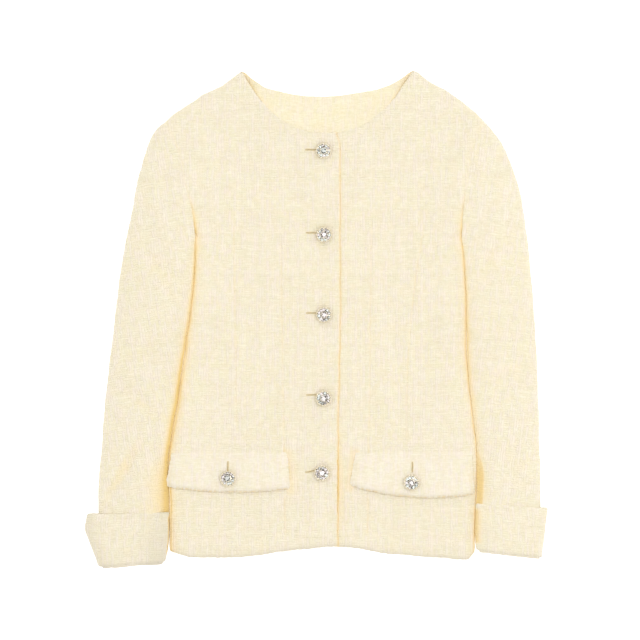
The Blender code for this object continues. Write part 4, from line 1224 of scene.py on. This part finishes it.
def build_facing():
    """A strip inside the back of the neck, with upright ribs: a cosine along the width, waved a little."""
    face, normals, _ = whole_back(FACING_GRID)
    middle = face.shape[1] // 2
    rows = slice(FACING_GRID.side + FACING_FIRST, None)
    columns = slice(middle - FACING_COLUMNS, middle + FACING_COLUMNS + 1)
    normals = -normals[rows, columns]
    face = face[rows, columns] + (TWEED + 0.1 + FACING_CLOTH) * normals
    half = np.abs(face[..., 0])
    above_front = (face[..., 1] - neck_up(half, FRONT_NECK)) * 0.62
    lapped = lap("right", -face[..., 0]) * ease((LAP_LEFT + 1 - face[..., 0]) / 3)
    hump = (FACING_HUMP + 0.7 * lapped) * bell(above_front - 0.6, 2.0)
    above_front = above_front.clip(0, None)
    face[..., 2] += (FACING_RISE * bell(above_front, 9.0) + hump) * ease((NECK_HALF - 8 - half) / 22)
    place = cloth_place(face)
    wave = 1.2 * random_heights(face[..., 0] / 9, face[..., 1] / 14, 61)
    ribs = RIB_HEIGHT * np.cos(2 * np.pi * (place[..., 0] + wave) / RIB_WIDTH)
    # Painted shade on the facing under the fronts' neck edge, towards the shoulders.
    shade = bands(above_front, (0.24 * ease((half - 56) / 22), 3.6), (0.17 * ease((half - 72) / 16), 9.0))
    return panel("back_neck_facing_cloth", ["back_neck_facing"], "left", face, normals,
                 ribs + 0.35 * boucle_relief(place, RELIEF_SEED["facing"]), {"weave_place": place, "hollow": shade},
                 cloth=FACING_CLOTH, rim=0.3, finish=FACING_FINISH)


FACING = build_facing()

# %% [markdown]
# ## The sleeves
# Each sleeve is cut in an upper and an under piece. They start on the armhole's own points, so the seam is closed,
# and a sewn groove with a small swell beside it (the sleeve head) marks where they are set in. One tube could do
# for both, but two halves can be full above and flat below, where the sleeve lies on the surface.

# %% Shade of a sleeve
def sleeve_hollow(side, up, from_start, inner_fold, folds):
    """Painted shade: the groove's bands at the armhole, and along the inner fold, where they turn into the deeper
    shade beside the cuff. The creases add painted shade, the square of their depth."""
    groove, beside = groove_shade(side, up), beside_cuff(side, up)
    start = bands(from_start, (0.08 + 0.7 * groove, 2.2), (0.10 * groove, 9.0))
    wider_down = 2.2 + 2.0 * ease((330 - up) / 190)
    strip = bands(inner_fold, (0.90 * groove, wider_down), (0.28 * groove, 10.0), (0.13, 4.5))
    if side == "right":
        sunk = bands(inner_fold, (0.70, 6.0), (0.64, 19.0))
    else:
        sunk = 0.62 * ease((1 + 8.5 * beside - inner_fold) / 3) + 0.30 * bell(inner_fold, 11.0)
    strip = strip * (1 - beside) + sunk * beside
    return np.maximum(start, strip * ease((UNDERARM_UP - up) / 20 + 0.3)) + 0.018 * folds**2


print("shade 1 mm from the fold:", sleeve_hollow("right", np.array([300.0, 200.0]), FAR, 1.0, np.zeros(1)).round(2))

# %% Build the sleeves
def build_sleeve(side, layer, armhole):
    """One wall of a sleeve, from the armhole's points to the wrist."""
    face = sleeve_face(side, layer, armhole)
    normals = face_normals(face, (0, 0, 1.0 if layer == "upper" else -1.0))
    across = unit((face[:, 0] - face[:, -1]) * [1, 1, 0])
    normals[:, 0], normals[:, -1] = across, -across
    first, last = face[0].mean(0), face[-1].mean(0)
    place = cloth_place(face, np.arctan2(last[0] - first[0], first[1] - last[1]))
    out, up = face[..., 0], face[..., 1]
    from_start = np.linalg.norm(face - face[:1], axis=-1)
    share = (1 - np.cos(np.linspace(0, np.pi, face.shape[1])))[None] / 2
    width = np.linalg.norm(face[:, 0] - face[:, -1], axis=-1)[:, None]
    inner_fold, from_fold = (1 - share) * width, np.minimum(share, 1 - share) * width
    creases, swell = crease_depth(SLEEVE_CREASES[side], out, up), half_ring("upper", face.shape[1])[None]
    relief = boucle_relief(place, RELIEF_SEED["sleeve"][side]) * (1 - bell(from_start, SEAM_FLAT))
    relief *= 1 - 0.7 * bell(from_fold, 2.0)
    relief -= 0.12 * bell(from_start, 2.4) - 0.5 * bell(from_start - 6.0, 4.5)
    relief = relief - creases * swell if layer == "upper" else relief.clip(None, 0.0) - 0.6 * creases * swell
    # The hollow value is painted shade in the groove and the creases; the edge value is painted shade on the inner
    # side, where the sleeve rounds down towards the body.
    values = {"weave_place": place,
              "hollow": sleeve_hollow(side, up, from_start, inner_fold, creases.clip(0, 4) * swell),
              "edge": 0.06 * bell(inner_fold, 17.0) * ease((UNDERARM_UP - up) / 40)}
    return panel(f"sleeve_{layer}_{side}_cloth", [f"sleeve_{layer}_{side}_{number}" for number in range(1, 5)],
                 side, face, normals, relief, values, rim=0.4)


UPPER_SLEEVES, UNDER_SLEEVES = {}, {}
for side in SIGN:
    UPPER_SLEEVES[side] = build_sleeve(side, "upper", FRONT_ARMHOLES[side])
    UNDER_SLEEVES[side] = build_sleeve(side, "under", BACK_ARMHOLES[side])

# %% [markdown]
# ## The cuffs
# A cuff is one strip turned up over the sleeve's end: it comes down its outer face, goes round the fold at the
# bottom and runs up again inside. It is a closed hoop of rings, so its grid joins itself both ways. Thickening the
# sleeve's end would be simpler, but a hoop of its own stands off the sleeve and shows the fold.

# %% Rings of a cuff
CUFF_SIDES, CUFF_ROWS = 192, 41
CUFF_STEP = "inset raised"
CUFF_TOP = table(CUFF_STEP, (1.0, -0.6), (0.8, -0.1), (0.5, 0.15), (0.2, 0.1))
CUFF_FOLD = table(CUFF_STEP, (0.2, -0.8), (0.9, -1.7), (2.0, -2.1), (3.2, -2.0), (4.4, -1.3), (5.2, -0.2),
                  (5.5, 1.2), (4.6, 2.4), (3.2, 3.0))
CUFF_EDGE, CUFF_EDGE_SHARE = 2.2, 0.30  # the top edge is thinner by this, easing out over this share of the depth
CORNER_TOP, CORNER_FOLD = 0.6, 3.2  # radius of the cuff's corners, in plan, at its top edge and at its fold
CUFF_SHARES = np.linspace(0, 1, CUFF_ROWS)


def cuff_ring(side, share, inset, raised=0.0, lower=0.0):
    """The ring at a share of the cuff's depth, its ends rounded as quarter circles near the top and the fold."""
    row, rows = by_share(CUFFS[side], share), CUFFS[side]
    outer, inner = (np.array([row[f"{fold}_out"], row[f"{fold}_up"] + raised]) for fold in ("outer", "inner"))
    depth = abs(rows[-1].outer_up - rows[0].outer_up)
    rounding = sum((1 - np.sqrt(1 - np.clip(1 - end * depth / radius, 0, 1) ** 2)) * radius
                   for end, radius in ((share, CORNER_TOP), (1 - share, CORNER_FOLD)))
    inwards = unit(inner - outer) * rounding
    return tube_ring(outer + inwards, inner - inwards, row["loft"], inset, CUFF_SIDES, lower)


def cuff_rings(side):
    """All rings: over the top edge, down the outer face, round the fold and up inside."""
    rings = [cuff_ring(side, 0.0, step.inset, step.raised, CUFF_EDGE) for step in CUFF_TOP]
    thinner = CUFF_EDGE * (1 - ease(CUFF_SHARES / CUFF_EDGE_SHARE))
    rings += [cuff_ring(side, share, 0.0, 0.0, lower) for share, lower in zip(CUFF_SHARES, thinner)]
    rings += [cuff_ring(side, 1.0, step.inset, step.raised) for step in CUFF_FOLD]
    return np.array(rings + [cuff_ring(side, share, CUFF_CLOTH) for share in CUFF_SHARES[-3:0:-3]])


def hoop_place(grid):
    """Where each point is on the strip, in millimetres: lengths summed round each ring to half way, mirrored
    from there, and summed along the rings."""
    half = CUFF_SIDES // 2
    round_it = np.pad(np.linalg.norm(np.diff(grid, axis=1), axis=-1).cumsum(1), [(0, 0), (1, 0)])
    round_it[:, half + 1:] = round_it[:, half - 1:0:-1]
    round_it += grid[0, 0, 0] - grid[:, :1, 0]
    along = np.pad(np.linalg.norm(np.diff(grid, axis=0), axis=-1).mean(1).cumsum(), (1, 0))[:, None]
    along = along * np.ones((1, CUFF_SIDES))
    return np.dstack([round_it, along, np.zeros_like(along)])


print("a cuff has", len(cuff_rings("right")), "rings of", CUFF_SIDES, "points")

# %% Build the cuffs
def build_cuff(side):
    """A closed hoop with relief and creases on its outer face, and shade where it turns away or meets the body."""
    grid, first, outside = cuff_rings(side), len(CUFF_TOP), len(CUFF_TOP) + CUFF_ROWS
    down = np.roll(grid, -1, 0) - np.roll(grid, 1, 0)
    around = np.roll(grid, -1, 1) - np.roll(grid, 1, 1)
    normals = unit(np.cross(around, down))
    normals *= np.sign(normals[outside // 2, CUFF_SIDES // 4, 2])
    place = hoop_place(grid)
    visible = np.where(np.arange(len(grid)) < outside + 4, 1.0, 0.0)[:, None]
    relief = boucle_relief(place, RELIEF_SEED["cuff"][side])
    relief -= crease_depth(CUFF_CREASES[side], grid[..., 0], grid[..., 1])
    grid = grid + normals * (relief * visible)[..., None]
    grid[..., 2] = grid[..., 2].clip(0, None)
    from_inner = grid[..., 0] - grid[..., 0].min(1, keepdims=True)
    from_outer = grid[..., 0].max(1, keepdims=True) - grid[..., 0]
    middle, from_fold = np.zeros((len(grid), 1)), np.zeros((len(grid), 1))
    middle[first:outside, 0] = ease((CUFF_SHARES - 0.05) / 0.1) * ease((0.88 - CUFF_SHARES) / 0.1)
    from_fold[:first], from_fold[first:outside, 0] = 1, 1 - CUFF_SHARES
    if side == "right":
        hollow = 1.7 * bell(from_inner, 1.1) * middle
        edge = 0.30 * bell(from_outer, 9.0) + 0.26 * bell(from_inner, 24.0)
        edge = edge + 0.16 * bell(np.hypot(from_inner, 40 * from_fold), 26.0)
    else:
        hollow, edge = 0.82 * bell(from_inner, 5.5) * middle, np.zeros_like(from_inner)
    edge = visible * (edge + 0.34 * bell(60 * from_fold, 2.6))
    numbers = np.pad(np.arange(grid.shape[0] * CUFF_SIDES).reshape(-1, CUFF_SIDES), [(0, 1), (0, 1)], mode="wrap")
    values = {"weave_place": place, "hollow": hollow, "edge": edge}
    return make_piece(f"cuff_{side}_cloth", place_in_frame(grid.reshape(-1, 3), side), [quads(numbers)], TWEED_FINISH,
                      [f"cuff_{side}"], values)


CUFF_PIECES = {side: build_cuff(side) for side in SIGN}

# %% [markdown]
# ## The pocket flaps
# A flap is sewn down along its top edge, where it is thin, and lies free along its bellied lower edge, where its
# two layers are full and fray a little. A bent plane with even thickness would look like card, so the thickness
# eases from the sewn edge to the free one.

# %% Build the flaps
FLAP_CELLS, FLAP_LENGTH = (132, 44), 132
FLAP_CORNER = 4.0  # radius of the lower corners
FLAP_REST, FLAP_LIFT, FLAP_SEWN, FLAP_SWELL, FLAP_SUNK = 0.8, 2.0, 0.25, 9.0, 0.5


def flap_plan(side, u, v):
    """Points between a flap's sewn edge and its free edge, which bellies out as a parabola."""
    corners, u, v = FLAPS[side], u[..., None], v[..., None]
    sewn = (1 - u) * np.array(corners.top_in) + u * np.array(corners.top_out)
    free = (1 - u) * np.array(corners.bottom_in) + u * np.array(corners.bottom_out)
    free = free - np.array([0, 1]) * corners.belly * 4 * u * (1 - u)
    from_end = np.minimum(u, 1 - u) * np.linalg.norm(np.subtract(corners.bottom_out, corners.bottom_in))
    rounding = 1 - np.sqrt(1 - np.clip(1 - from_end / FLAP_CORNER, 0, 1) ** 2)
    plan = (1 - v) * sewn + v * free
    return plan + np.array([0, 1]) * FLAP_CORNER * rounding * ease((v - 0.6) / 0.4)


def flap_cloth(v, drop):
    """Thickness of a flap: a share of it on the sewn edge, easing to all of it."""
    return FLAP_CLOTH * (FLAP_SEWN + (1 - FLAP_SEWN) * ease(v * drop / FLAP_SWELL))


def flap_top(side, out, up, v, drop, from_end=FAR):
    """Height of a flap's outer face: the front's, the flap's own rest and lift, and its thickness. The sewn edge
    is pulled into the front, and the lower edge and both ends lie down on it."""
    lift = FLAP_LIFT * v**1.5 * (1 - 0.8 * ease((v - 0.72) / 0.28))
    free = ease(v * drop / FLAP_SWELL) * (0.2 + 0.8 * ease(from_end / 12))
    return body_loft(side, out, up) + (FLAP_REST + lift + FLAP_SUNK) * free - FLAP_SUNK + flap_cloth(v, drop)


def build_flap(side):
    """A flap's wall over its front, its ends and free edge rounded off; the free edge's dark line is partly frayed
    yarn ends and partly painted shade under the edge.
    """
    across, down = FLAP_CELLS
    u, v = np.meshgrid(np.linspace(0, 1, across + 1), np.linspace(0, 1, down + 1))
    plan = flap_plan(side, u, v)
    out, up = plan[..., 0], plan[..., 1]
    drop = np.linalg.norm(plan[-1] - plan[0], axis=-1)[None]
    from_end, from_free, from_sewn = np.minimum(u, 1 - u) * FLAP_LENGTH, (1 - v) * drop, v * drop
    face = np.dstack([plan, flap_top(side, out, up, v, drop, from_end)])
    place = cloth_place(face)
    relief = 0.7 * boucle_relief(place, RELIEF_SEED["flap"][side]) * ease(from_sewn / 3)
    relief -= 1.6 * bell(from_end, 2.6) * ease(v * 3) + 1.0 * bell(from_free, 2.0)
    # Painted shade: a faint line along the sewn edge, and a line under the free edge that random yarn ends make
    # uneven.
    ends = random_heights(out / 1.9, 0 * out, 163)
    line = (0.10 + 0.4 * ends).clip(0, None) * ease(from_end / 6)
    values = {"weave_place": place, "hollow": 0.04 * bell(from_sewn, 0.8) + line * bell(from_free, 0.8),
              "edge": ease(from_end / 5) * bands(from_free, (0.24 + 0.4 * ends, 1.3), (0.26, 3.2))}
    return panel(f"flap_{side}_cloth", [f"flap_{side}"], side, face, face_normals(face, (0, 0, 1)),
                 flattened(relief, "flap", side, out, up), values, cloth=flap_cloth(v, drop),
                 rim=frayed(face.shape, 0.8, 5, (0.5, 2.3)), finish=FLAP_FINISH)


FLAP_PIECES = {side: build_flap(side) for side in SIGN}

# %% [markdown]
# ## Buttonholes
# A worked buttonhole is a slit whose edges are wrapped in close stitches of twist. Each is a narrow strip with two
# rounded rows of stitches and a sunk slit between them, tapering at its ends. It lies in the place that was
# pressed flat for it on the front or flap. A drawn line would look flat, and single stitches would be thousands of
# pieces, so one waved strip stands for them.

# %% Thread finish
TWIST_TAN, TWIST_GREEN, TWIST_PALE = (0.86, 0.72, 0.44), (0.72, 0.67, 0.45), (0.90, 0.78, 0.60)
# Painted shade in the open slit between the stitches.
SLIT_DARK = (0.40, 0.27, 0.12)


def thread_material():
    """Matt twist: tan and greenish stitches across, with painted shade in the slit, from the piece's own attributes.
    """
    material, g, shader = new_material("thread", Roughness=0.85, Sheen_Weight=0.3)
    fibre = g.noise(g.node("ShaderNodeTexCoord").outputs["Object"], 2400.0, 1.0)
    colour = g.blend(g.step(g.attribute("tone"), 0.2, 0.8), TWIST_TAN, TWIST_GREEN)
    colour = g.blend(g.times(fibre, 0.3), colour, TWIST_PALE)
    g.put(shader["Base Color"], g.blend(g.attribute("hollow"), colour, SLIT_DARK))
    g.put(shader["Normal"], g.bump(fibre, 0.15))
    return material


THREAD_FINISH = thread_material()
print("thread finish:", THREAD_FINISH.name)

# %% Build the buttonholes
SLIT_CELLS, SLIT_HALF_WIDTH = (120, 24), 1.35
STITCH_RISE, STITCH_HEIGHT, STITCH_LENGTH, STITCH_CLOTH = 0.10, 0.55, 0.85, 0.5


def build_slit(slit):
    """Two bells of stitches beside a trough, their height waved by each stitch, tapering at both ends."""
    long, wide = SLIT_CELLS
    a, b = np.meshgrid(np.linspace(-1, 1, long + 1), np.linspace(-1, 1, wide + 1))
    taper = np.sqrt(np.clip(1 - np.abs(a) ** 5, 0.02, 1))
    along, across = a * slit.length / 2, b * SLIT_HALF_WIDTH * taper
    out, up = turned(along, across, np.radians(slit.turn))
    out, up = out + slit.out, up + slit.up
    if "flap" in slit.name:
        corners = FLAPS[slit.side]
        drop = corners.top_in[1] - corners.bottom_in[1] + corners.belly
        base = flap_top(slit.side, out, up, np.clip((corners.top_in[1] - up) / drop, 0, 1), drop)
    else:
        base = body_loft(slit.side, out, up) + lap(slit.side, out)
    stitches = 0.75 + 0.25 * np.cos(2 * np.pi * along / STITCH_LENGTH + 2.0 * np.sign(b))
    height = base + STITCH_RISE + STITCH_HEIGHT * bell(np.abs(b) - 0.52, 0.30) * stitches * taper
    face = np.dstack([out, up, height])
    values = {"hollow": 0.95 * bell(b, 0.34) * (np.abs(a) < 0.93),
              "tone": 0.5 + 0.5 * random_heights(along / 1.7 + 50, across / 0.9 + 50, 7)}
    return panel(slit.name, (), slit.side, face, np.zeros_like(face) + [0.0, 0.0, 1.0], np.zeros_like(a), values,
                 cloth=STITCH_CLOTH, finish=THREAD_FINISH)


SLIT_PIECES = [build_slit(slit) for slit in SLITS]
print("buttonholes made:", len(SLIT_PIECES))

# %% [markdown]
# ## Jewelled buttons
# Each button is a pale metal setting, with a scalloped rim and a domed dish, that holds a large cut stone and a
# ring of smaller ones. A setting is a profile carried round a circle, its radius and height waved by the scallops.
# A stone is a few rings of points joined by flat facets. Foil behind real stones throws back a different bit of
# the room from each facet. Clear glass would need many bounces of light and still look grey under a plain sky, so
# the stones are opaque and each facet's tone is a painted reflection, with a faint painted tint on some.

# %% Setting
SCALLOPS, SETTING_SIDES = 16, 192
SCALLOP_IN, SCALLOP_DOWN = 0.75, 0.45  # how far the rim goes in and down between two scallops
SETTING = table(
    "radius height scallop",
    (2.2, 0.0, 0), (2.2, 1.3, 0), (5.2, 1.6, 0), (7.9, 1.9, 0.3), (8.8, 2.4, 0.9), (9.2, 3.1, 1), (9.2, 3.9, 1),
    (8.9, 4.5, 1), (8.4, 4.8, 0.9), (7.9, 4.7, 0.6), (7.5, 4.2, 0.2), (6.2, 4.5, 0), (4.2, 5.3, 0), (2.2, 5.9, 0),
    (0.5, 6.1, 0))
RIM_RADIUS = max(step.radius for step in SETTING)


def closed_tube(rings):
    """Faces between rings of equal count, closed at both ends by one many-sided face."""
    count, sides = rings.shape[:2]
    numbers = np.arange(count * sides).reshape(count, sides)
    return [quads(np.concatenate([numbers, numbers[:, :1]], 1)), numbers[:1, ::-1], numbers[-1:]]


def setting_points(centre, turn):
    """The profile's radius and height at each angle, both waved by how near a scallop's top is."""
    angles = np.linspace(0, 2 * np.pi, SETTING_SIDES, endpoint=False)
    valley = 1 - np.abs(np.cos((angles - turn) * SCALLOPS / 2))[None] ** 0.7
    radius, height, scallop = (column(SETTING, name)[:, None] for name in ("radius", "height", "scallop"))
    height = height - SCALLOP_DOWN * scallop * valley
    return on_circle(radius - SCALLOP_IN * scallop * valley, angles, height) + centre


print("a setting has", len(SETTING), "rings of", SETTING_SIDES)

# %% Stones
STONE_RINGS = [(0.80, -0.30), (1.0, 0.0), (0.80, 0.30), (0.50, 0.46)]  # share of the radius, and height


def cut_stone(sides, rng):
    """Rings of a cut stone, each turned half a side from the last, joined by triangles; one painted reflection tone
    to a facet.
    """
    rings, facets = [], []
    i = np.arange(sides)
    j = (i + 1) % sides
    for number, (radius, height) in enumerate(STONE_RINGS):
        rings.append(on_circle(radius, (i + number / 2) * 2 * np.pi / sides, height))
        if number:
            below, above = (number - 1) * sides, number * sides
            facets += [np.stack([below + i, below + j, above + i], -1),
                       np.stack([above + i, below + j, above + j], -1)]
    ends = [i[None, ::-1], ((len(STONE_RINGS) - 1) * sides + i)[None]]
    tones = [rng.beta(0.55, 0.5, len(f)) for f in facets] + [np.array([0.3]), rng.uniform(0.5, 1.0, 1)]
    return np.concatenate(rings), facets + ends, tones


def tilted(points, centre, radius, lean, direction):
    """A stone scaled to its radius, leaned outwards by an angle towards a direction, and put in its place."""
    x, y, z = (points * radius).T
    x, z = turned(x, z, -lean)
    return np.column_stack([*turned(x, y, direction), z]) + centre


print("a stone's rings:", STONE_RINGS)

# %% Button finishes
CHAMPAGNE, CHAMPAGNE_BRIGHT = (0.78, 0.70, 0.54), (0.90, 0.84, 0.70)
# Painted reflections in the stones' facets, from dark to light, and the faint tints painted on some.
FACET_DARK, FACET_LIGHT = (0.050, 0.045, 0.038), (0.98, 0.975, 0.955)
PINKISH, BLUISH = (1.0, 0.925, 0.935), (0.93, 0.985, 0.965)


def metal_material():
    """Pale champagne metal: polished, its colour and roughness varying a little with wear."""
    material, g, shader = new_material("button metal", Metallic=1.0)
    wear = g.noise(g.node("ShaderNodeTexCoord").outputs["Object"], 420.0, 3.0)
    g.put(shader["Base Color"], g.blend(g.step(wear, 0.35, 0.70), CHAMPAGNE, CHAMPAGNE_BRIGHT))
    g.put(shader["Roughness"], g.times_plus(wear, 0.25, 0.12))
    g.put(shader["Normal"], g.bump(wear, 0.05))
    return material


def stone_material():
    """Opaque glass on silver foil: each facet's painted reflection between dark grey and white, some with a faint
    painted pink or blue tint.
    """
    material, g, shader = new_material("cut stones", Metallic=0.55, Roughness=0.10, Coat_Weight=0.4)
    grey = g.blend(g.step(g.attribute("sparkle"), 0.10, 0.80), FACET_DARK, FACET_LIGHT)
    hue = g.blend(g.step(g.attribute("tint"), 0.3, 0.7), PINKISH, BLUISH)
    g.put(shader["Base Color"], g.blend(1.0, grey, hue, "MULTIPLY"))
    return material


METAL_FINISH, STONE_FINISH = metal_material(), stone_material()
print("button finishes:", METAL_FINISH.name, "and", STONE_FINISH.name)

# %% Beads and joining
SMALL_COUNT = 10  # small stones round the large one, with a bead between each two
BEAD_RADIUS, BEAD_REACH, BEAD_HEIGHT, BEAD_SIDES = 0.62, 7.55, 4.7, 8


def bead(centre):
    """A small dome: rings of a half sphere, closed below."""
    lifts = np.linspace(0, np.pi / 2 - 0.2, 4)[:, None]
    angles = np.linspace(0, 2 * np.pi, BEAD_SIDES, endpoint=False)
    return on_circle(np.cos(lifts), angles, np.sin(lifts)) * BEAD_RADIUS + centre


def gather(parts):
    """Join point arrays and their face groups into one set, the faces' numbers moved on."""
    points, faces, start = [], [], 0
    for part_points, part_faces in parts:
        points.append(part_points.reshape(-1, 3))
        faces += [group + start for group in part_faces]
        start += len(points[-1])
    return np.concatenate(points), faces


print("a bead has", bead(0.0).shape[:2], "rings and sides")

# %% Build the buttons
BUTTONS = [f"button_front_{number}" for number in range(1, 6)] + ["button_flap_right", "button_flap_left"]
BIG_STONE, BIG_HEIGHT, BIG_SIDES = 3.7, 6.3, 9
SMALL_STONE, SMALL_HEIGHT, SMALL_REACH = 2.1, 5.3, 5.9
BUTTON_SEED = 500
ROOM_GLOW = 0.30  # facets are this much brighter towards the bright side of the room


def place_stones(centre, turn, rng):
    """The seat, radius, lean, direction and number of sides of each stone, all a little uneven."""
    off = rng.uniform(-0.6, 0.6, 2)
    places = [(centre + [*off, BIG_HEIGHT], BIG_STONE * rng.uniform(0.9, 1.08), rng.uniform(0, 0.1), turn, BIG_SIDES)]
    steps = np.arange(SMALL_COUNT) + rng.uniform(-0.16, 0.16, SMALL_COUNT)
    for angle in turn + steps * 2 * np.pi / SMALL_COUNT:
        reach = SMALL_REACH + rng.uniform(-0.3, 0.3)
        seat = centre + on_circle(reach, angle, SMALL_HEIGHT + rng.uniform(-0.1, 0.15))
        radius, lean = SMALL_STONE * rng.uniform(0.82, 1.12), np.radians(rng.uniform(16, 34))
        places.append((seat, radius, lean, angle, int(rng.integers(5, 8))))
    return places


def build_button(name, number):
    """A setting with its beads, and its stones, both standing on the packed button's seat."""
    low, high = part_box(name)
    centre = np.array([(low.x + high.x) / 2, (low.y + high.y) / 2, low.z]) / MM
    rng = np.random.default_rng(BUTTON_SEED + number)
    turn = rng.uniform(0, 2 * np.pi)
    shells = [setting_points(centre, turn)]
    for angle in turn + (np.arange(SMALL_COUNT) + 0.5) * 2 * np.pi / SMALL_COUNT:
        shells.append(bead(centre + on_circle(BEAD_REACH, angle, BEAD_HEIGHT)))
    points, faces = gather([(rings, closed_tube(rings)) for rings in shells])
    setting = make_piece(f"{name}_setting", points * MM, faces, METAL_FINISH, [name])

    stones, tones, tints = [], [], []
    room = rng.uniform(0, 2 * np.pi)
    for seat, radius, lean, angle, sides in place_stones(centre, turn, rng):
        shape, facets, stone_tones = cut_stone(sides, rng)
        stones.append((tilted(shape, seat, radius, lean, angle), facets))
        towards = ((seat - centre)[:2] * [np.cos(room), np.sin(room)]).sum() / RIM_RADIUS
        tones += [np.clip(tone + ROOM_GLOW * towards, 0, 1) for tone in stone_tones]
        tints.append(np.full(sum(len(group) for group in facets), rng.uniform()))
    points, faces = gather(stones)
    jewels = make_piece(f"{name}_stones", points * MM, faces, STONE_FINISH, (), None, smooth=False)
    for key, value in (("sparkle", np.concatenate(tones)), ("tint", np.concatenate(tints))):
        jewels.data.attributes.new(key, "FLOAT", "FACE").data.foreach_set("value", value.astype(np.float32))
    return setting, jewels


BUTTON_PIECES = [build_button(name, number) for number, name in enumerate(BUTTONS)]
print("buttons:", len(BUTTON_PIECES), "- triangles in one:", sum(triangles(piece) for piece in BUTTON_PIECES[0]))

# %% [markdown]

# %% [markdown]
# ## Floor, light and camera
# The floor is plain and white, and gives off a little light of its own, so that it stays white beside the jacket.
# A white sky gives soft even light, and one large lamp from the upper right gives the cloth its modelling. The
# camera is straight above with a long lens. A picture of a room could light it too, but plain light keeps the
# cloth's colours true.

# %% Floor
FLOOR_REACH, FLOOR_UP = 3.0, -0.0003  # metres; just under the jacket
FLOOR_GREY, FLOOR_GLOW = (0.40, 0.40, 0.40, 1), 0.95


def build_floor():
    """A white square just under the jacket."""
    mesh = bpy.data.meshes.new("floor")
    corners = [(x * FLOOR_REACH, y * FLOOR_REACH, FLOOR_UP) for x, y in ((-1, -1), (1, -1), (1, 1), (-1, 1))]
    mesh.from_pydata(corners, [], [(0, 1, 2, 3)])
    floor = bpy.data.objects.new("floor", mesh)
    bpy.context.scene.collection.objects.link(floor)
    material, _, _ = new_material("floor white", Roughness=1.0, Specular_IOR_Level=0.0, Base_Color=FLOOR_GREY,
                                  Emission_Color=(1, 1, 1, 1), Emission_Strength=FLOOR_GLOW)
    mesh.materials.append(material)
    return floor


print("floor laid:", build_floor().name)

# %% Light
SKY_COLOUR, SKY_STRENGTH = (1.0, 0.995, 0.985, 1.0), 1.0
LAMP_SIZE, LAMP_WATTS, LAMP_PLACE = 0.9, 4.1, (0.50, 0.12, 1.5)

scene = bpy.context.scene
scene.view_settings.view_transform = "Standard"
world = bpy.data.worlds.new("white sky")
world.use_nodes = True
sky = world.node_tree.nodes["Background"].inputs
sky["Color"].default_value = SKY_COLOUR
sky["Strength"].default_value = SKY_STRENGTH
scene.world = world
lamp = bpy.data.lights.new("soft box", "AREA")
lamp.shape, lamp.size, lamp.size_y, lamp.energy = "RECTANGLE", LAMP_SIZE, LAMP_SIZE, LAMP_WATTS
lamp_object = bpy.data.objects.new("soft box", lamp)
lamp_object.location = LAMP_PLACE
lamp_object.rotation_mode = "QUATERNION"
lamp_object.rotation_quaternion = (-lamp_object.location).to_track_quat("-Z", "Y")
scene.collection.objects.link(lamp_object)
print("lamp at", [round(v, 2) for v in lamp_object.location])

# %% Camera
SENSOR_MM, LENS_MM = 36.0, 293.0
CAMERA_PLACE = (0.00355, -0.0001, 6.0)  # straight above, in metres

camera_data = bpy.data.cameras.new("camera")
camera_data.sensor_width, camera_data.lens = SENSOR_MM, LENS_MM
camera_data.clip_start, camera_data.clip_end = 0.1, 20.0
camera = bpy.data.objects.new("camera", camera_data)
camera.location = CAMERA_PLACE
scene.collection.objects.link(camera)
scene.camera = camera
print("camera", camera.location[2], "m above the floor")

# %% [markdown]
